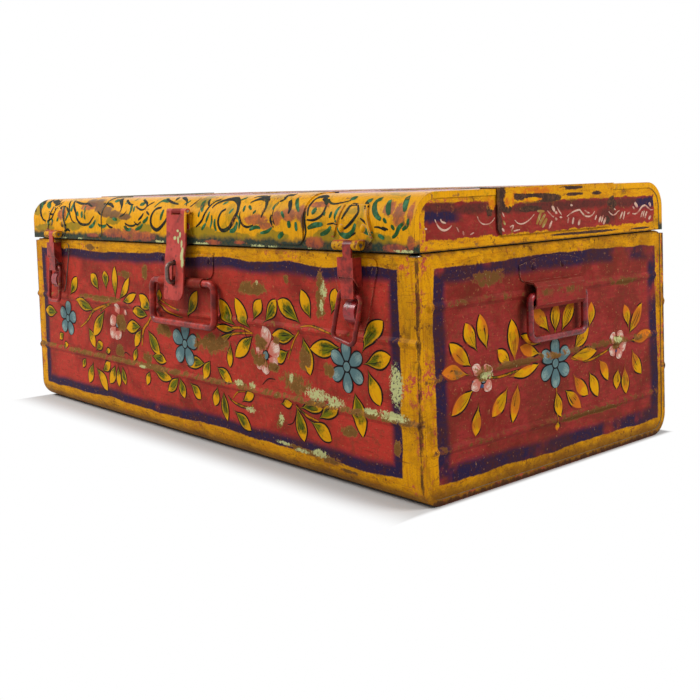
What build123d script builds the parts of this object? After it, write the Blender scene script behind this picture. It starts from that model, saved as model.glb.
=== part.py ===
"""Painted sheet-steel trunk with a hinged lid, a hasp, three drop handles and two side latches.

Millimetres. X runs along the front, -Y is the front, +Z is up.
The origin is the centre of the flat bottom face, so the trunk stands on Z = 0.
"""

import os
from math import cos, radians, sin

from build123d import *

# ---------------------------------------------------------------- trunk sizes
width = 760.0
depth = 386.0
body_height = 226.0
sheet = 0.9
bottom_radius = 24.0
seam_width = 6.0            # lip of the wrap, folded over each end panel
panel_clearance = 0.15      # between an end panel's edge and the wrap
rim_wire_radius = 1.5
rim_fit = 0.05              # between the rim wire and the sheet rolled round it
rim_corner_radius = 5.0
rim_roll_setback = 9.0      # the rolls stop short of the corners

# pressed stiffening beads, placed by their drop below the body's rim
bead_width = 9.0
bead_height = 2.0
bead_crest = 2.0
bead_end_taper = 60.0       # degrees
wall_bead_drops = (151.0, 78.5)      # lowest bead first
end_bead_drops = (178.0, 113.0, 48.0)
end_bead_setback = 12.0     # from the trunk's front and back to the bead's end

# inner strips that stand up into the lid
lip_foot_drop = 37.5        # lower edge, below the body's rim
lip_foot_height = 8.5
lip_bend = 4.0
lip_standoff = 5.0
lip_rise = 12.0             # above the body's rim
lip_setback = 12.0          # from the trunk's corners

# ------------------------------------------------------------------ lid sizes
lid_gap = 1.5               # between the body's rim and the lid's edge
lid_height = 52.5
lid_front_overhang = 1.5
lid_back_setback = 3.0
lid_side_overhang = 1.0
lid_radius = 27.0
lid_hem = 8.0

# overlay plates on the lid, placed by their rise above its lower edge
overlay_sheet = 1.2
overlay_wrap = 20.0         # how far each overlay reaches onto the lid's top
overlay_corner = 9.0
lid_end_plate_width = 185.0
lid_end_plate_y = 5.5
lid_end_plate_rise = 8.5
lid_front_plate_width = 48.0
lid_front_plate_inset = 175.5   # from the trunk's end to the plate's middle
lid_front_plate_rise = 3.5

# ------------------------------------------------------------------- fittings
fitting_sheet = 1.2         # plates riveted to the trunk
strap_sheet = 1.5           # latch arms, rolls and hooks
pin_clearance = 0.1         # hinge pins in their knuckles
knuckle_gap = 0.4           # between neighbouring knuckles
rivet_radius = 2.0
rivet_clearance = 0.1
rivet_head_radius = 4.0
rivet_head_height = 2.0
rivet_tail_radius = 3.2
rivet_tail_height = 1.2

# rear hinges
hinge_inset = 150.0         # from the trunk's end to the hinge's middle
hinge_width = 60.0
hinge_pin_radius = 2.0
hinge_knuckle_radius = 3.6
hinge_axis_outset = 4.2     # behind the body's back face
hinge_axis_rise = 0.8       # above the body's rim
hinge_knuckle_length = 20.0
hinge_body_leaf_drop = 44.0     # its lower edge, below the body's rim
hinge_lid_leaf_rise = 5.5       # its lower edge, above the lid's
hinge_lid_leaf_height = 19.5
hinge_leaf_corner = 6.0
hinge_rivet_side_inset = 10.0
hinge_body_rivet_inset = 14.0   # up from the body leaf's lower edge
hinge_lid_rivet_inset = 8.0     # down from the lid leaf's upper edge

# hasp
hasp_x = 8.0
hasp_width = 40.0
hasp_thickness = 1.8
hasp_axis_outset = 3.4      # in front of the lid's front face
hasp_axis_rise = 36.5       # above the lid's lower edge
hasp_knuckle_radius = 3.2
hasp_pin_radius = 1.6
hasp_leaf_knuckle = 18.0
hasp_leaf_width = 46.0
hasp_leaf_rise = 10.5       # its lower edge, above the lid's
hasp_leaf_rivet_side_inset = 8.0
hasp_leaf_rivet_inset = 9.0     # up from the leaf's lower edge
hasp_bend_rise = 1.0        # the strap steps outwards from here, above the body's rim
hasp_bend_height = 13.0
hasp_upper_outset = 9.9     # outer face of the strap, in front of the body's front
hasp_lower_outset = 12.6
hasp_tip_outset = 16.9
hasp_tip_drop = 61.5        # below the body's rim
hasp_slot_width = 8.0
hasp_slot_length = 30.0
hasp_slot_inset = 15.5      # from the strap's tip
hasp_large_corner = 12.0
hasp_small_corner = 5.0
staple_radius = 2.5
staple_clearance = 0.2
staple_reach = 22.5         # axis of its outer bar, in front of the body's front
staple_span = 21.5          # between its two legs
staple_corner = 6.0
staple_tail = 2.2           # inside the body

# front handle
front_handle_x = 11.0
front_plate_drop = 10.0     # its upper edge, below the body's rim
front_plate_width = 113.0
front_plate_height = 26.0
front_plate_corner = 10.0
front_rivet_side_inset = 8.5
front_rivet_inset = 6.5     # down from the plate's upper edge
front_barrel_width = 88.0
front_barrel_radius = 5.5
front_bail_radius = 4.0
front_bail_width = 137.0
front_bail_drop = 47.5
front_bail_corner = 9.0
front_bail_insert = 20.0    # length of each end inside the barrel
front_bail_lean = 2.0       # degrees outwards from hanging straight
front_bail_below_plate = 5.5    # from the plate's lower edge to the bail's axis
bail_clearance = 0.3

# end handles
end_handle_y = -6.0
end_plate_drop = 13.0       # its crown, below the body's rim
end_plate_width = 97.0
end_plate_height = 23.0
end_plate_arch = 7.0        # from its shoulders up to its crown
end_plate_corner = 8.0
end_rivet_spacing = 45.0
end_rivet_offset = -5.0
end_rivet_inset = 2.5       # down from the plate's shoulders
pocket_gap = 1.0            # from the plate's lower edge to the pocket's top
pocket_width = 77.0
pocket_height = 25.5
pocket_reach = 13.5
pocket_bevel = 4.0
end_bail_radius = 3.5
end_bail_spacing = 86.0     # between the axes of its legs
end_bail_drop = 42.0
end_bail_corner = 8.0
end_bail_upper_corner = 6.0     # tight enough to turn inside the pocket's mouth
end_bail_insert = 22.0
end_bail_inset = 13.0       # from the pocket's top down to the bail's axis
end_bail_outset = 8.0

# side latches
latch_left_inset = 72.0     # from the trunk's end to the latch's middle
latch_right_inset = 79.0
latch_right_skew = 11.0     # degrees; the right ring hangs a little aslant
latch_base_drop = 5.0       # its upper edge, below the body's rim
latch_base_half_top = 30.0
latch_base_shoulder = 10.0  # down from its upper edge, as are the next two
latch_base_waist = 55.0
latch_base_foot = 66.0
latch_base_half_waist = 17.0
latch_base_half_foot = 11.0
latch_base_corner = 5.0
latch_rivet_side_inset = 9.0
latch_rivet_inset = 8.0     # down from the base's upper edge
latch_axis_outset = 8.5     # in front of the body's front
latch_axis_rise = 5.5       # above the lid's lower edge
latch_pin_radius = 1.9
latch_knuckle_radius = 4.5
latch_left_knuckle = (-18.0, -3.0)
latch_arm_knuckle = (-2.6, 8.6)
latch_right_knuckle = (9.0, 18.0)
arm_width = 21.5
arm_neck = 11.0             # from the pin down to the channel
arm_front_height = 18.0
arm_side_height = 27.0
arm_side_inset = 2.0        # clear of the latch base
arm_reach = 12.8
tongue_width = 17.0
tongue_below_front = 20.0
tongue_overlap = 10.0       # behind the channel's front
ring_bar_radius = 2.25
ring_loop_radius = 3.2      # inside the hook that carries the ring
ring_loop_width = 8.0
ring_loop_rise = 4.5        # from the tongue's tip up to the ring's axis
ring_width = 35.0
ring_height = 50.0
ring_corner = 6.0
ring_lean = 5.0             # degrees
arch_half_width = 7.5
arch_drop = 38.0            # its upper foot, below the base's upper edge
arch_height = 24.0
arch_reach = 10.5
lid_latch_rise = 2.5        # its lower edge, above the lid's
lid_latch_height = 40.0
lid_latch_shoulder_rise = 10.0
lid_latch_half_width = 28.0
lid_latch_half_top = 17.0
lid_latch_rib_width = 3.0
lid_latch_rib_height = 2.6
lid_latch_rivet_side_inset = 13.0
lid_latch_rivet_inset = 18.0    # up from its lower edge

# ------------------------------------------------------------- derived places
half_width = width / 2
half_depth = depth / 2
lid_bottom = body_height + lid_gap
lid_top = lid_bottom + lid_height
lid_front = -half_depth - lid_front_overhang
lid_back = half_depth - lid_back_setback
lid_half_width = half_width + lid_side_overhang
roll_radius = rim_wire_radius + rim_fit + sheet
wall_bead_heights = [body_height - drop for drop in wall_bead_drops]
end_bead_heights = [body_height - drop for drop in end_bead_drops]
lip_foot_bottom = body_height - lip_foot_drop
lip_foot_top = lip_foot_bottom + lip_foot_height
lid_end_plate_bottom = lid_bottom + lid_end_plate_rise
lid_front_plate_x = half_width - lid_front_plate_inset
lid_front_plate_bottom = lid_bottom + lid_front_plate_rise

hinge_x = half_width - hinge_inset
hinge_axis = (half_depth + hinge_axis_outset, body_height + hinge_axis_rise)
hinge_body_leaf_bottom = body_height - hinge_body_leaf_drop
hinge_lid_leaf_bottom = lid_bottom + hinge_lid_leaf_rise
hinge_lid_leaf_top = hinge_lid_leaf_bottom + hinge_lid_leaf_height
hinge_body_rivet_height = hinge_body_leaf_bottom + hinge_body_rivet_inset
hinge_lid_rivet_height = hinge_lid_leaf_top - hinge_lid_rivet_inset

hasp_axis_height = lid_bottom + hasp_axis_rise
hasp_leaf_bottom = lid_bottom + hasp_leaf_rise
hasp_bend_top = body_height + hasp_bend_rise
hasp_bend_bottom = hasp_bend_top - hasp_bend_height
hasp_tip = body_height - hasp_tip_drop
hasp_slot_middle = hasp_tip + hasp_slot_inset + hasp_slot_length / 2

front_plate_top = body_height - front_plate_drop
front_plate_bottom = front_plate_top - front_plate_height
front_bail_height = front_plate_bottom - front_bail_below_plate
staple_leg_heights = (front_bail_height, front_bail_height + staple_span)

end_plate_crown = body_height - end_plate_drop
end_plate_shoulder = end_plate_crown - end_plate_arch
end_plate_bottom = end_plate_crown - end_plate_height
pocket_top = end_plate_bottom - pocket_gap
pocket_bottom = pocket_top - pocket_height
end_bail_height = pocket_top - end_bail_inset

latch_x = {"left": latch_left_inset - half_width, "right": half_width - latch_right_inset}
latch_ring_skew = {"left": 0.0, "right": latch_right_skew}
latch_base_top = body_height - latch_base_drop
latch_axis_height = lid_bottom + latch_axis_rise
arm_top = latch_axis_height - arm_neck
arm_front_bottom = arm_top - arm_front_height
arm_side_bottom = arm_top - arm_side_height
tongue_bottom = arm_front_bottom - tongue_below_front
ring_axis_height = tongue_bottom + ring_loop_rise
arch_top = latch_base_top - arch_drop
arch_bottom = arch_top - arch_height
lid_latch_bottom = lid_bottom + lid_latch_rise
lid_latch_shoulder = lid_latch_bottom + lid_latch_shoulder_rise
lid_latch_top = lid_latch_bottom + lid_latch_height

# A wall plane has its X along the wall, its Y up and its Z outwards.
body_front_wall = Plane((0, -half_depth, 0), x_dir=(1, 0, 0), z_dir=(0, -1, 0))
body_back_wall = Plane((0, half_depth, 0), x_dir=(-1, 0, 0), z_dir=(0, 1, 0))
body_end_walls = {
    "left": Plane((-half_width + sheet, 0, 0), x_dir=(0, -1, 0), z_dir=(-1, 0, 0)),
    "right": Plane((half_width - sheet, 0, 0), x_dir=(0, 1, 0), z_dir=(1, 0, 0)),
}
lid_front_wall = Plane((0, lid_front, 0), x_dir=(1, 0, 0), z_dir=(0, -1, 0))
lid_back_wall = Plane((0, lid_back, 0), x_dir=(-1, 0, 0), z_dir=(0, 1, 0))
lid_end_walls = {
    "left": Plane((-lid_half_width, 0, 0), x_dir=(0, -1, 0), z_dir=(-1, 0, 0)),
    "right": Plane((lid_half_width, 0, 0), x_dir=(0, 1, 0), z_dir=(1, 0, 0)),
}


def pairs(middles, half_spacing, height):
    """Places either side of each middle, all at one height, as (along the wall, height)."""
    return [(middle + side * half_spacing, height) for middle in middles for side in (-1, 1)]


# where the rivets go; the back walls run the other way, but the hinges mirror each other
front_handle_rivet_places = pairs(
    [front_handle_x],
    front_plate_width / 2 - front_rivet_side_inset,
    front_plate_top - front_rivet_inset,
)
latch_base_rivet_places = pairs(
    latch_x.values(),
    latch_base_half_top - latch_rivet_side_inset,
    latch_base_top - latch_rivet_inset,
)
hinge_rivet_half_spacing = hinge_width / 2 - hinge_rivet_side_inset
hinge_body_rivet_places = pairs(
    (-hinge_x, hinge_x), hinge_rivet_half_spacing, hinge_body_rivet_height
)
hinge_lid_rivet_places = pairs(
    (-hinge_x, hinge_x), hinge_rivet_half_spacing, hinge_lid_rivet_height
)
hasp_leaf_rivet_places = pairs(
    [hasp_x],
    hasp_leaf_width / 2 - hasp_leaf_rivet_side_inset,
    hasp_leaf_bottom + hasp_leaf_rivet_inset,
)
lid_latch_rivet_places = pairs(
    latch_x.values(),
    lid_latch_half_width - lid_latch_rivet_side_inset,
    lid_latch_bottom + lid_latch_rivet_inset,
)
end_handle_along = {"left": -end_handle_y, "right": end_handle_y}
end_handle_rivet_places = {
    "left": pairs(
        [end_handle_along["left"] - end_rivet_offset],
        end_rivet_spacing / 2,
        end_plate_shoulder - end_rivet_inset,
    ),
    "right": pairs(
        [end_handle_along["right"] + end_rivet_offset],
        end_rivet_spacing / 2,
        end_plate_shoulder - end_rivet_inset,
    ),
}

os.makedirs("parts", exist_ok=True)


def save(part, name):
    part.label = name
    export_step(part, f"parts/{name}.step")


# ------------------------------------------------------------ shared geometry
def section_plane(wall, along):
    """Plane across a wall: its X runs outwards from the wall and its Y runs up."""
    return Plane(wall.from_local_coords((along, 0, 0)), x_dir=wall.z_dir, z_dir=-wall.x_dir)


def at_wall(wall, along, height, outset=0.0):
    """Place on a wall whose Z points outwards."""
    return wall.location * Location((along, height, outset))


def filled(*points):
    """Sketch of a straight-sided shape."""
    with BuildSketch() as shape:
        with BuildLine():
            Polyline(*points, close=True)
        make_face()
    return shape.sketch


def rounded(shape, corners):
    """Sketch with some of its corners rounded: corners maps (x, y) to a radius."""
    with BuildSketch() as result:
        add(shape)
        for (x, y), radius in corners.items():
            fillet(result.vertices().sort_by_distance(Vector(x, y, 0))[0], radius=radius)
    return result.sketch


def bead_points(edge, height, outwards):
    """One pressed bead on a wall drawn upwards in section."""
    crest = edge + outwards * bead_height
    return [
        (edge, height - bead_width / 2),
        (crest, height - bead_crest / 2),
        (crest, height + bead_crest / 2),
        (edge, height + bead_width / 2),
    ]


def tub_section(inset, top, beads):
    """The body's outline in Y and Z, inset from its outer face."""
    edge = half_depth - inset
    right_side = [(edge, inset)]
    left_side = [(-edge, inset)]
    if beads:
        for height in wall_bead_heights:
            right_side += bead_points(edge, height, 1)
            left_side += bead_points(-edge, height, -1)
    points = right_side + [(edge, top), (-edge, top)] + left_side[::-1]
    radius = bottom_radius - inset
    return rounded(filled(*points), {(edge, inset): radius, (-edge, inset): radius})


def lid_section(inset, bottom):
    """The lid's outline in Y and Z, inset from its outer face."""
    front, back, top = lid_front + inset, lid_back - inset, lid_top - inset
    radius = lid_radius - inset
    shape = filled((front, bottom), (back, bottom), (back, top), (front, top))
    return rounded(shape, {(front, top): radius, (back, top): radius})


def cut_rivet_holes(wall, places):
    """Holes for rivets in whatever is being built, through the wall and the plate on it."""
    reach = 4 * sheet + lid_front_overhang
    for along, height in places:
        with Locations(at_wall(wall, along, height)):
            Cylinder(rivet_radius + rivet_clearance, 2 * reach, mode=Mode.SUBTRACT)


def make_rivets(groups):
    """Domed rivets. Each group is a wall, the places on it and the plate's outer face."""
    with BuildPart() as rivets:
        for wall, places, seat in groups:
            for along, height in places:
                plane = section_plane(wall, along)
                with BuildSketch(plane):
                    with BuildLine():
                        tail = -sheet - rivet_tail_height
                        Polyline(
                            (seat, height + rivet_head_radius),
                            (seat, height + rivet_radius),
                            (-sheet, height + rivet_radius),
                            (-sheet, height + rivet_tail_radius),
                            (tail, height + rivet_tail_radius),
                            (tail, height),
                            (seat + rivet_head_height, height),
                        )
                        ThreePointArc(
                            (seat + rivet_head_height, height),
                            (seat + 0.72 * rivet_head_height, height + 0.62 * rivet_head_radius),
                            (seat, height + rivet_head_radius),
                        )
                    make_face()
                centre = wall.from_local_coords((along, height, 0))
                revolve(axis=Axis(centre, wall.z_dir))
    return rivets.part


# ----------------------------------------------------------------------- body
with BuildPart() as body_wrap:
    with BuildSketch(Plane.YZ):
        add(tub_section(0, body_height - roll_radius, beads=True))
        add(tub_section(sheet, body_height, beads=True), mode=Mode.SUBTRACT)
    extrude(amount=half_width, both=True)
    # lips folded over the end panels
    for side in (-1, 1):
        with BuildSketch(Plane.YZ.offset(side * half_width)):
            add(tub_section(0, body_height - roll_radius, beads=False))
            add(tub_section(seam_width, body_height, beads=False), mode=Mode.SUBTRACT)
        extrude(amount=-side * sheet)
    # the top edges of the front and back, rolled round the rim wire
    for wall in (body_front_wall, body_back_wall):
        with BuildSketch(section_plane(wall, 0)):
            with Locations((-roll_radius, body_height - roll_radius)):
                Circle(roll_radius)
                Circle(roll_radius - sheet, mode=Mode.SUBTRACT)
        extrude(amount=half_width - rim_roll_setback, both=True)
    cut_rivet_holes(body_front_wall, front_handle_rivet_places + latch_base_rivet_places)
    cut_rivet_holes(body_back_wall, hinge_body_rivet_places)
    for height in staple_leg_heights:
        with Locations(at_wall(body_front_wall, hasp_x, height)):
            Cylinder(staple_radius + staple_clearance, 4 * sheet, mode=Mode.SUBTRACT)
save(body_wrap.part, "body_wrap")

for hand, wall in body_end_walls.items():
    with BuildPart() as body_end:
        outline = tub_section(sheet + panel_clearance, body_height - roll_radius, beads=False)
        with BuildSketch(wall):
            add(outline)
        extrude(amount=-sheet)
        bead_length = depth - 2 * end_bead_setback
        for height in end_bead_heights:
            with BuildSketch(wall):
                with Locations((0, height)):
                    SlotOverall(bead_length, bead_width)
            extrude(amount=bead_height, taper=bead_end_taper)
        for height in end_bead_heights:
            with BuildSketch(wall.offset(-sheet)):
                with Locations((0, height)):
                    SlotOverall(bead_length, bead_width)
            extrude(amount=bead_height, taper=bead_end_taper, mode=Mode.SUBTRACT)
        with BuildSketch(section_plane(wall, 0)):
            with Locations((-roll_radius, body_height - roll_radius)):
                Circle(roll_radius)
                Circle(roll_radius - sheet, mode=Mode.SUBTRACT)
        extrude(amount=half_depth - rim_roll_setback, both=True)
        cut_rivet_holes(wall, end_handle_rivet_places[hand])
    save(body_end.part, f"body_end_{hand}")

with BuildPart() as rim_wire:
    wire_x = half_width - sheet - roll_radius
    wire_y = half_depth - roll_radius
    with BuildLine(Plane.XY.offset(body_height - roll_radius)) as wire_path:
        FilletPolyline(
            (wire_x, wire_y),
            (-wire_x, wire_y),
            (-wire_x, -wire_y),
            (wire_x, -wire_y),
            radius=rim_corner_radius,
            close=True,
        )
    with BuildSketch(Plane(wire_path.line @ 0, z_dir=wire_path.line % 0)):
        Circle(rim_wire_radius)
    sweep(path=wire_path.line)
save(rim_wire.part, "rim_wire")


def make_dust_lip(wall, half_length):
    """Strip spot-welded inside a wall, stepping in under the rim and rising into the lid."""
    inner = -sheet
    with BuildPart() as dust_lip:
        with BuildSketch(section_plane(wall, 0)):
            with BuildLine():
                Polyline(
                    (inner, lip_foot_bottom),
                    (inner, lip_foot_top),
                    (inner - lip_standoff, lip_foot_top + lip_bend),
                    (inner - lip_standoff, body_height + lip_rise),
                    (inner - lip_standoff - sheet, body_height + lip_rise),
                    (inner - lip_standoff - sheet, lip_foot_top + lip_bend),
                    (inner - sheet, lip_foot_top),
                    (inner - sheet, lip_foot_bottom),
                    close=True,
                )
            make_face()
        extrude(amount=half_length, both=True)
    return dust_lip.part


save(make_dust_lip(body_front_wall, half_width - lip_setback), "dust_lip_front")
for hand, wall in body_end_walls.items():
    save(make_dust_lip(wall, half_depth - lip_setback), f"dust_lip_{hand}")

# ------------------------------------------------------------------------ lid
with BuildPart() as lid_wrap:
    with BuildSketch(Plane.YZ):
        add(lid_section(0, lid_bottom))
        add(lid_section(sheet, lid_bottom), mode=Mode.SUBTRACT)
    extrude(amount=lid_half_width, both=True)
    # hems folded up inside the lower edges
    for wall in (lid_front_wall, lid_back_wall):
        with BuildSketch(section_plane(wall, 0)):
            with Locations((-2 * sheet, lid_bottom)):
                Rectangle(sheet, lid_hem, align=(Align.MIN, Align.MIN))
        extrude(amount=lid_half_width - 2 * sheet - panel_clearance, both=True)
    # lips folded over the end panels
    for side in (-1, 1):
        with BuildSketch(Plane.YZ.offset(side * lid_half_width)):
            add(lid_section(0, lid_bottom))
            add(lid_section(seam_width, lid_bottom), mode=Mode.SUBTRACT)
        extrude(amount=-side * sheet)
    cut_rivet_holes(lid_front_wall, hasp_leaf_rivet_places + lid_latch_rivet_places)
    cut_rivet_holes(lid_back_wall, hinge_lid_rivet_places)
save(lid_wrap.part, "lid_wrap")

for hand, wall in lid_end_walls.items():
    with BuildPart() as lid_end:
        with BuildSketch(wall.offset(-sheet)):
            # the wall plane's X runs backwards on the left end
            outline = lid_section(sheet + panel_clearance, lid_bottom)
            add(outline if hand == "right" else mirror(outline, Plane.YZ, mode=Mode.PRIVATE))
        extrude(amount=-sheet)
    save(lid_end.part, f"lid_end_{hand}")

for hand, wall in lid_end_walls.items():
    along = lid_end_plate_y if hand == "right" else -lid_end_plate_y
    with BuildPart() as lid_end_plate:
        with BuildSketch(section_plane(wall, along)):
            with BuildLine():
                Polyline(
                    (0, lid_end_plate_bottom),
                    (overlay_sheet, lid_end_plate_bottom),
                    (overlay_sheet, lid_top + overlay_sheet),
                    (-overlay_wrap, lid_top + overlay_sheet),
                    (-overlay_wrap, lid_top),
                    (0, lid_top),
                    close=True,
                )
            make_face()
        extrude(amount=lid_end_plate_width / 2, both=True)
        bottom_corners = (
            lid_end_plate.edges()
            .filter_by(Axis.X)
            .group_by(Axis.Z)[0]
        )
        fillet(bottom_corners, radius=overlay_corner)
    save(lid_end_plate.part, f"lid_end_plate_{hand}")

for hand, side in (("left", -1), ("right", 1)):
    with BuildPart() as lid_front_plate:
        reach = lid_front + lid_radius + overlay_wrap
        with BuildSketch(Plane.YZ.offset(side * lid_front_plate_x)):
            add(lid_section(-overlay_sheet, lid_front_plate_bottom))
            add(lid_section(0, lid_front_plate_bottom), mode=Mode.SUBTRACT)
            with Locations((reach, lid_bottom)):
                Rectangle(depth, 2 * lid_top, align=(Align.MIN, Align.CENTER), mode=Mode.SUBTRACT)
        extrude(amount=lid_front_plate_width / 2, both=True)
        bottom_corners = (
            lid_front_plate.edges()
            .filter_by(Axis.Y)
            .group_by(Axis.Z)[0]
        )
        fillet(bottom_corners, radius=overlay_corner)
    save(lid_front_plate.part, f"lid_front_plate_{hand}")

# --------------------------------------------------------------- rear hinges
knuckle_half = hinge_knuckle_length / 2
for hand, side in (("left", -1), ("right", 1)):
    x = side * hinge_x
    axis_y, axis_z = hinge_axis
    back_along = -x

    with BuildPart() as body_leaf:
        with BuildSketch(body_back_wall):
            with Locations((back_along, hinge_body_leaf_bottom)):
                Rectangle(
                    hinge_width,
                    axis_z - hinge_body_leaf_bottom,
                    align=(Align.CENTER, Align.MIN),
                )
        extrude(amount=fitting_sheet)
        bottom_corners = body_leaf.edges().filter_by(Axis.Y).group_by(Axis.Z)[0]
        fillet(bottom_corners, radius=hinge_leaf_corner)
        with BuildSketch(Plane.YZ.offset(x)):
            with Locations(hinge_axis):
                Circle(hinge_knuckle_radius)
        extrude(amount=hinge_width / 2, both=True)
        with BuildSketch(Plane.YZ.offset(x)):
            with Locations(hinge_axis):
                Circle(hinge_pin_radius + pin_clearance)
        extrude(amount=hinge_width / 2, both=True, mode=Mode.SUBTRACT)
        # room for the lid leaf's knuckle
        with Locations((x, axis_y, axis_z)):
            Box(
                hinge_knuckle_length + 2 * knuckle_gap,
                2 * hinge_axis_outset,
                2 * hinge_knuckle_radius + 2 * knuckle_gap,
                mode=Mode.SUBTRACT,
            )
        cut_rivet_holes(body_back_wall, hinge_body_rivet_places)
    save(body_leaf.part, f"hinge_{hand}_body_leaf")

    with BuildPart() as lid_leaf:
        with BuildSketch(lid_back_wall):
            with Locations((back_along, hinge_lid_leaf_bottom)):
                Rectangle(
                    hinge_width,
                    hinge_lid_leaf_top - hinge_lid_leaf_bottom,
                    align=(Align.CENTER, Align.MIN),
                )
        extrude(amount=fitting_sheet)
        top_corners = lid_leaf.edges().filter_by(Axis.Y).group_by(Axis.Z)[-1]
        fillet(top_corners, radius=hinge_leaf_corner)
        # tab that runs down and back to the knuckle
        tab_top = axis_z + hinge_knuckle_radius
        with BuildSketch(Plane.YZ.offset(x)):
            with BuildLine():
                Polyline(
                    (lid_back, hinge_lid_leaf_bottom + fitting_sheet),
                    (lid_back, tab_top - fitting_sheet),
                    (axis_y, tab_top - fitting_sheet),
                    (axis_y, tab_top),
                    (lid_back + fitting_sheet, tab_top),
                    (lid_back + fitting_sheet, hinge_lid_leaf_bottom + fitting_sheet),
                    close=True,
                )
            make_face()
            with Locations(hinge_axis):
                Circle(hinge_knuckle_radius)
        extrude(amount=knuckle_half, both=True)
        with BuildSketch(Plane.YZ.offset(x)):
            with Locations(hinge_axis):
                Circle(hinge_pin_radius + pin_clearance)
        extrude(amount=knuckle_half, both=True, mode=Mode.SUBTRACT)
        cut_rivet_holes(lid_back_wall, hinge_lid_rivet_places)
    save(lid_leaf.part, f"hinge_{hand}_lid_leaf")

    with BuildPart() as hinge_pin:
        with Locations(Location((x, axis_y, axis_z), (0, 90, 0))):
            Cylinder(hinge_pin_radius, hinge_width)
    save(hinge_pin.part, f"hinge_{hand}_pin")

hinge_body_rivet_group = (body_back_wall, hinge_body_rivet_places, fitting_sheet)
save(make_rivets([hinge_body_rivet_group]), "hinge_body_rivets")
hinge_lid_rivet_group = (lid_back_wall, hinge_lid_rivet_places, fitting_sheet)
save(make_rivets([hinge_lid_rivet_group]), "hinge_lid_rivets")

# ----------------------------------------------------------------------- hasp
hasp_section = section_plane(body_front_wall, hasp_x)
hasp_axis = (lid_front_overhang + hasp_axis_outset, hasp_axis_height)

with BuildPart() as hasp_leaf:
    with BuildSketch(lid_front_wall):
        with Locations((hasp_x, hasp_leaf_bottom)):
            Rectangle(
                hasp_leaf_width,
                hasp_axis_height - hasp_knuckle_radius - knuckle_gap - hasp_leaf_bottom,
                align=(Align.CENTER, Align.MIN),
            )
    extrude(amount=fitting_sheet)
    # middle knuckle, carried by a tab of the leaf
    with BuildSketch(hasp_section):
        with Locations((lid_front_overhang, hasp_axis_height - 2 * hasp_knuckle_radius)):
            Rectangle(fitting_sheet, 2 * hasp_knuckle_radius, align=(Align.MIN, Align.MIN))
        with Locations(hasp_axis):
            Circle(hasp_knuckle_radius)
            Circle(hasp_pin_radius + pin_clearance, mode=Mode.SUBTRACT)
    extrude(amount=hasp_leaf_knuckle / 2, both=True)
    cut_rivet_holes(lid_front_wall, hasp_leaf_rivet_places)
save(hasp_leaf.part, "hasp_leaf")

with BuildPart() as hasp_pin:
    with Locations(at_wall(lid_front_wall, hasp_x, hasp_axis_height, hasp_axis_outset)):
        Cylinder(hasp_pin_radius, hasp_width, rotation=(0, 90, 0))
save(hasp_pin.part, "hasp_pin")
save(
    make_rivets([(lid_front_wall, hasp_leaf_rivet_places, fitting_sheet)]), "hasp_leaf_rivets"
)

with BuildPart() as hasp_strap:
    top_outset = hasp_axis[0] + hasp_knuckle_radius
    outer_face = [
        (top_outset, hasp_axis_height),
        (hasp_upper_outset, hasp_bend_top),
        (hasp_lower_outset, hasp_bend_bottom),
        (hasp_tip_outset, hasp_tip),
    ]
    inner_face = [(outset - hasp_thickness, height) for outset, height in outer_face]
    inner_face[0] = (hasp_axis[0] + hasp_pin_radius + pin_clearance, hasp_axis_height)
    with BuildSketch(hasp_section):
        with BuildLine():
            Polyline(*outer_face, *inner_face[::-1], close=True)
        make_face()
        with Locations(hasp_axis):
            Circle(hasp_knuckle_radius)
    extrude(amount=hasp_width / 2, both=True)
    with BuildSketch(hasp_section):
        with Locations(hasp_axis):
            Circle(hasp_pin_radius + pin_clearance)
    extrude(amount=hasp_width / 2, both=True, mode=Mode.SUBTRACT)
    # notch for the leaf's knuckle
    notch_width = hasp_leaf_knuckle + 2 * knuckle_gap
    notch_bottom = hasp_axis_height - hasp_knuckle_radius - knuckle_gap
    with Locations(at_wall(body_front_wall, hasp_x, notch_bottom)):
        Box(
            notch_width,
            4 * hasp_knuckle_radius,
            8 * hasp_knuckle_radius,
            align=(Align.CENTER, Align.MIN, Align.CENTER),
            mode=Mode.SUBTRACT,
        )
    # outline of the lower end, with one corner cut back more than the other
    half = hasp_width / 2
    outline = rounded(
        filled(
            (-half, hasp_tip),
            (half, hasp_tip),
            (half, hasp_axis_height + half),
            (-half, hasp_axis_height + half),
        ),
        {(-half, hasp_tip): hasp_small_corner, (half, hasp_tip): hasp_large_corner},
    )
    with BuildSketch(body_front_wall):
        with Locations((hasp_x, 0)):
            add(outline)
    extrude(amount=2 * hasp_tip_outset, mode=Mode.INTERSECT)
    with BuildSketch(body_front_wall):
        with Locations((hasp_x, hasp_slot_middle)):
            SlotOverall(hasp_slot_length, hasp_slot_width, rotation=90)
    extrude(amount=2 * hasp_tip_outset, mode=Mode.SUBTRACT)
save(hasp_strap.part, "hasp_strap")

with BuildPart() as hasp_staple:
    lower_leg, upper_leg = staple_leg_heights
    inside = -sheet - staple_tail
    with BuildLine(hasp_section) as staple_path:
        FilletPolyline(
            (inside, upper_leg),
            (staple_reach, upper_leg),
            (staple_reach, lower_leg),
            (inside, lower_leg),
            radius=staple_corner,
        )
    with BuildSketch(Plane(staple_path.line @ 0, z_dir=staple_path.line % 0)):
        Circle(staple_radius)
    sweep(path=staple_path.line)
save(hasp_staple.part, "hasp_staple")

# --------------------------------------------------------------- front handle
barrel_bore = front_bail_radius + bail_clearance
barrel_outset = front_barrel_radius + bail_clearance / 2

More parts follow.
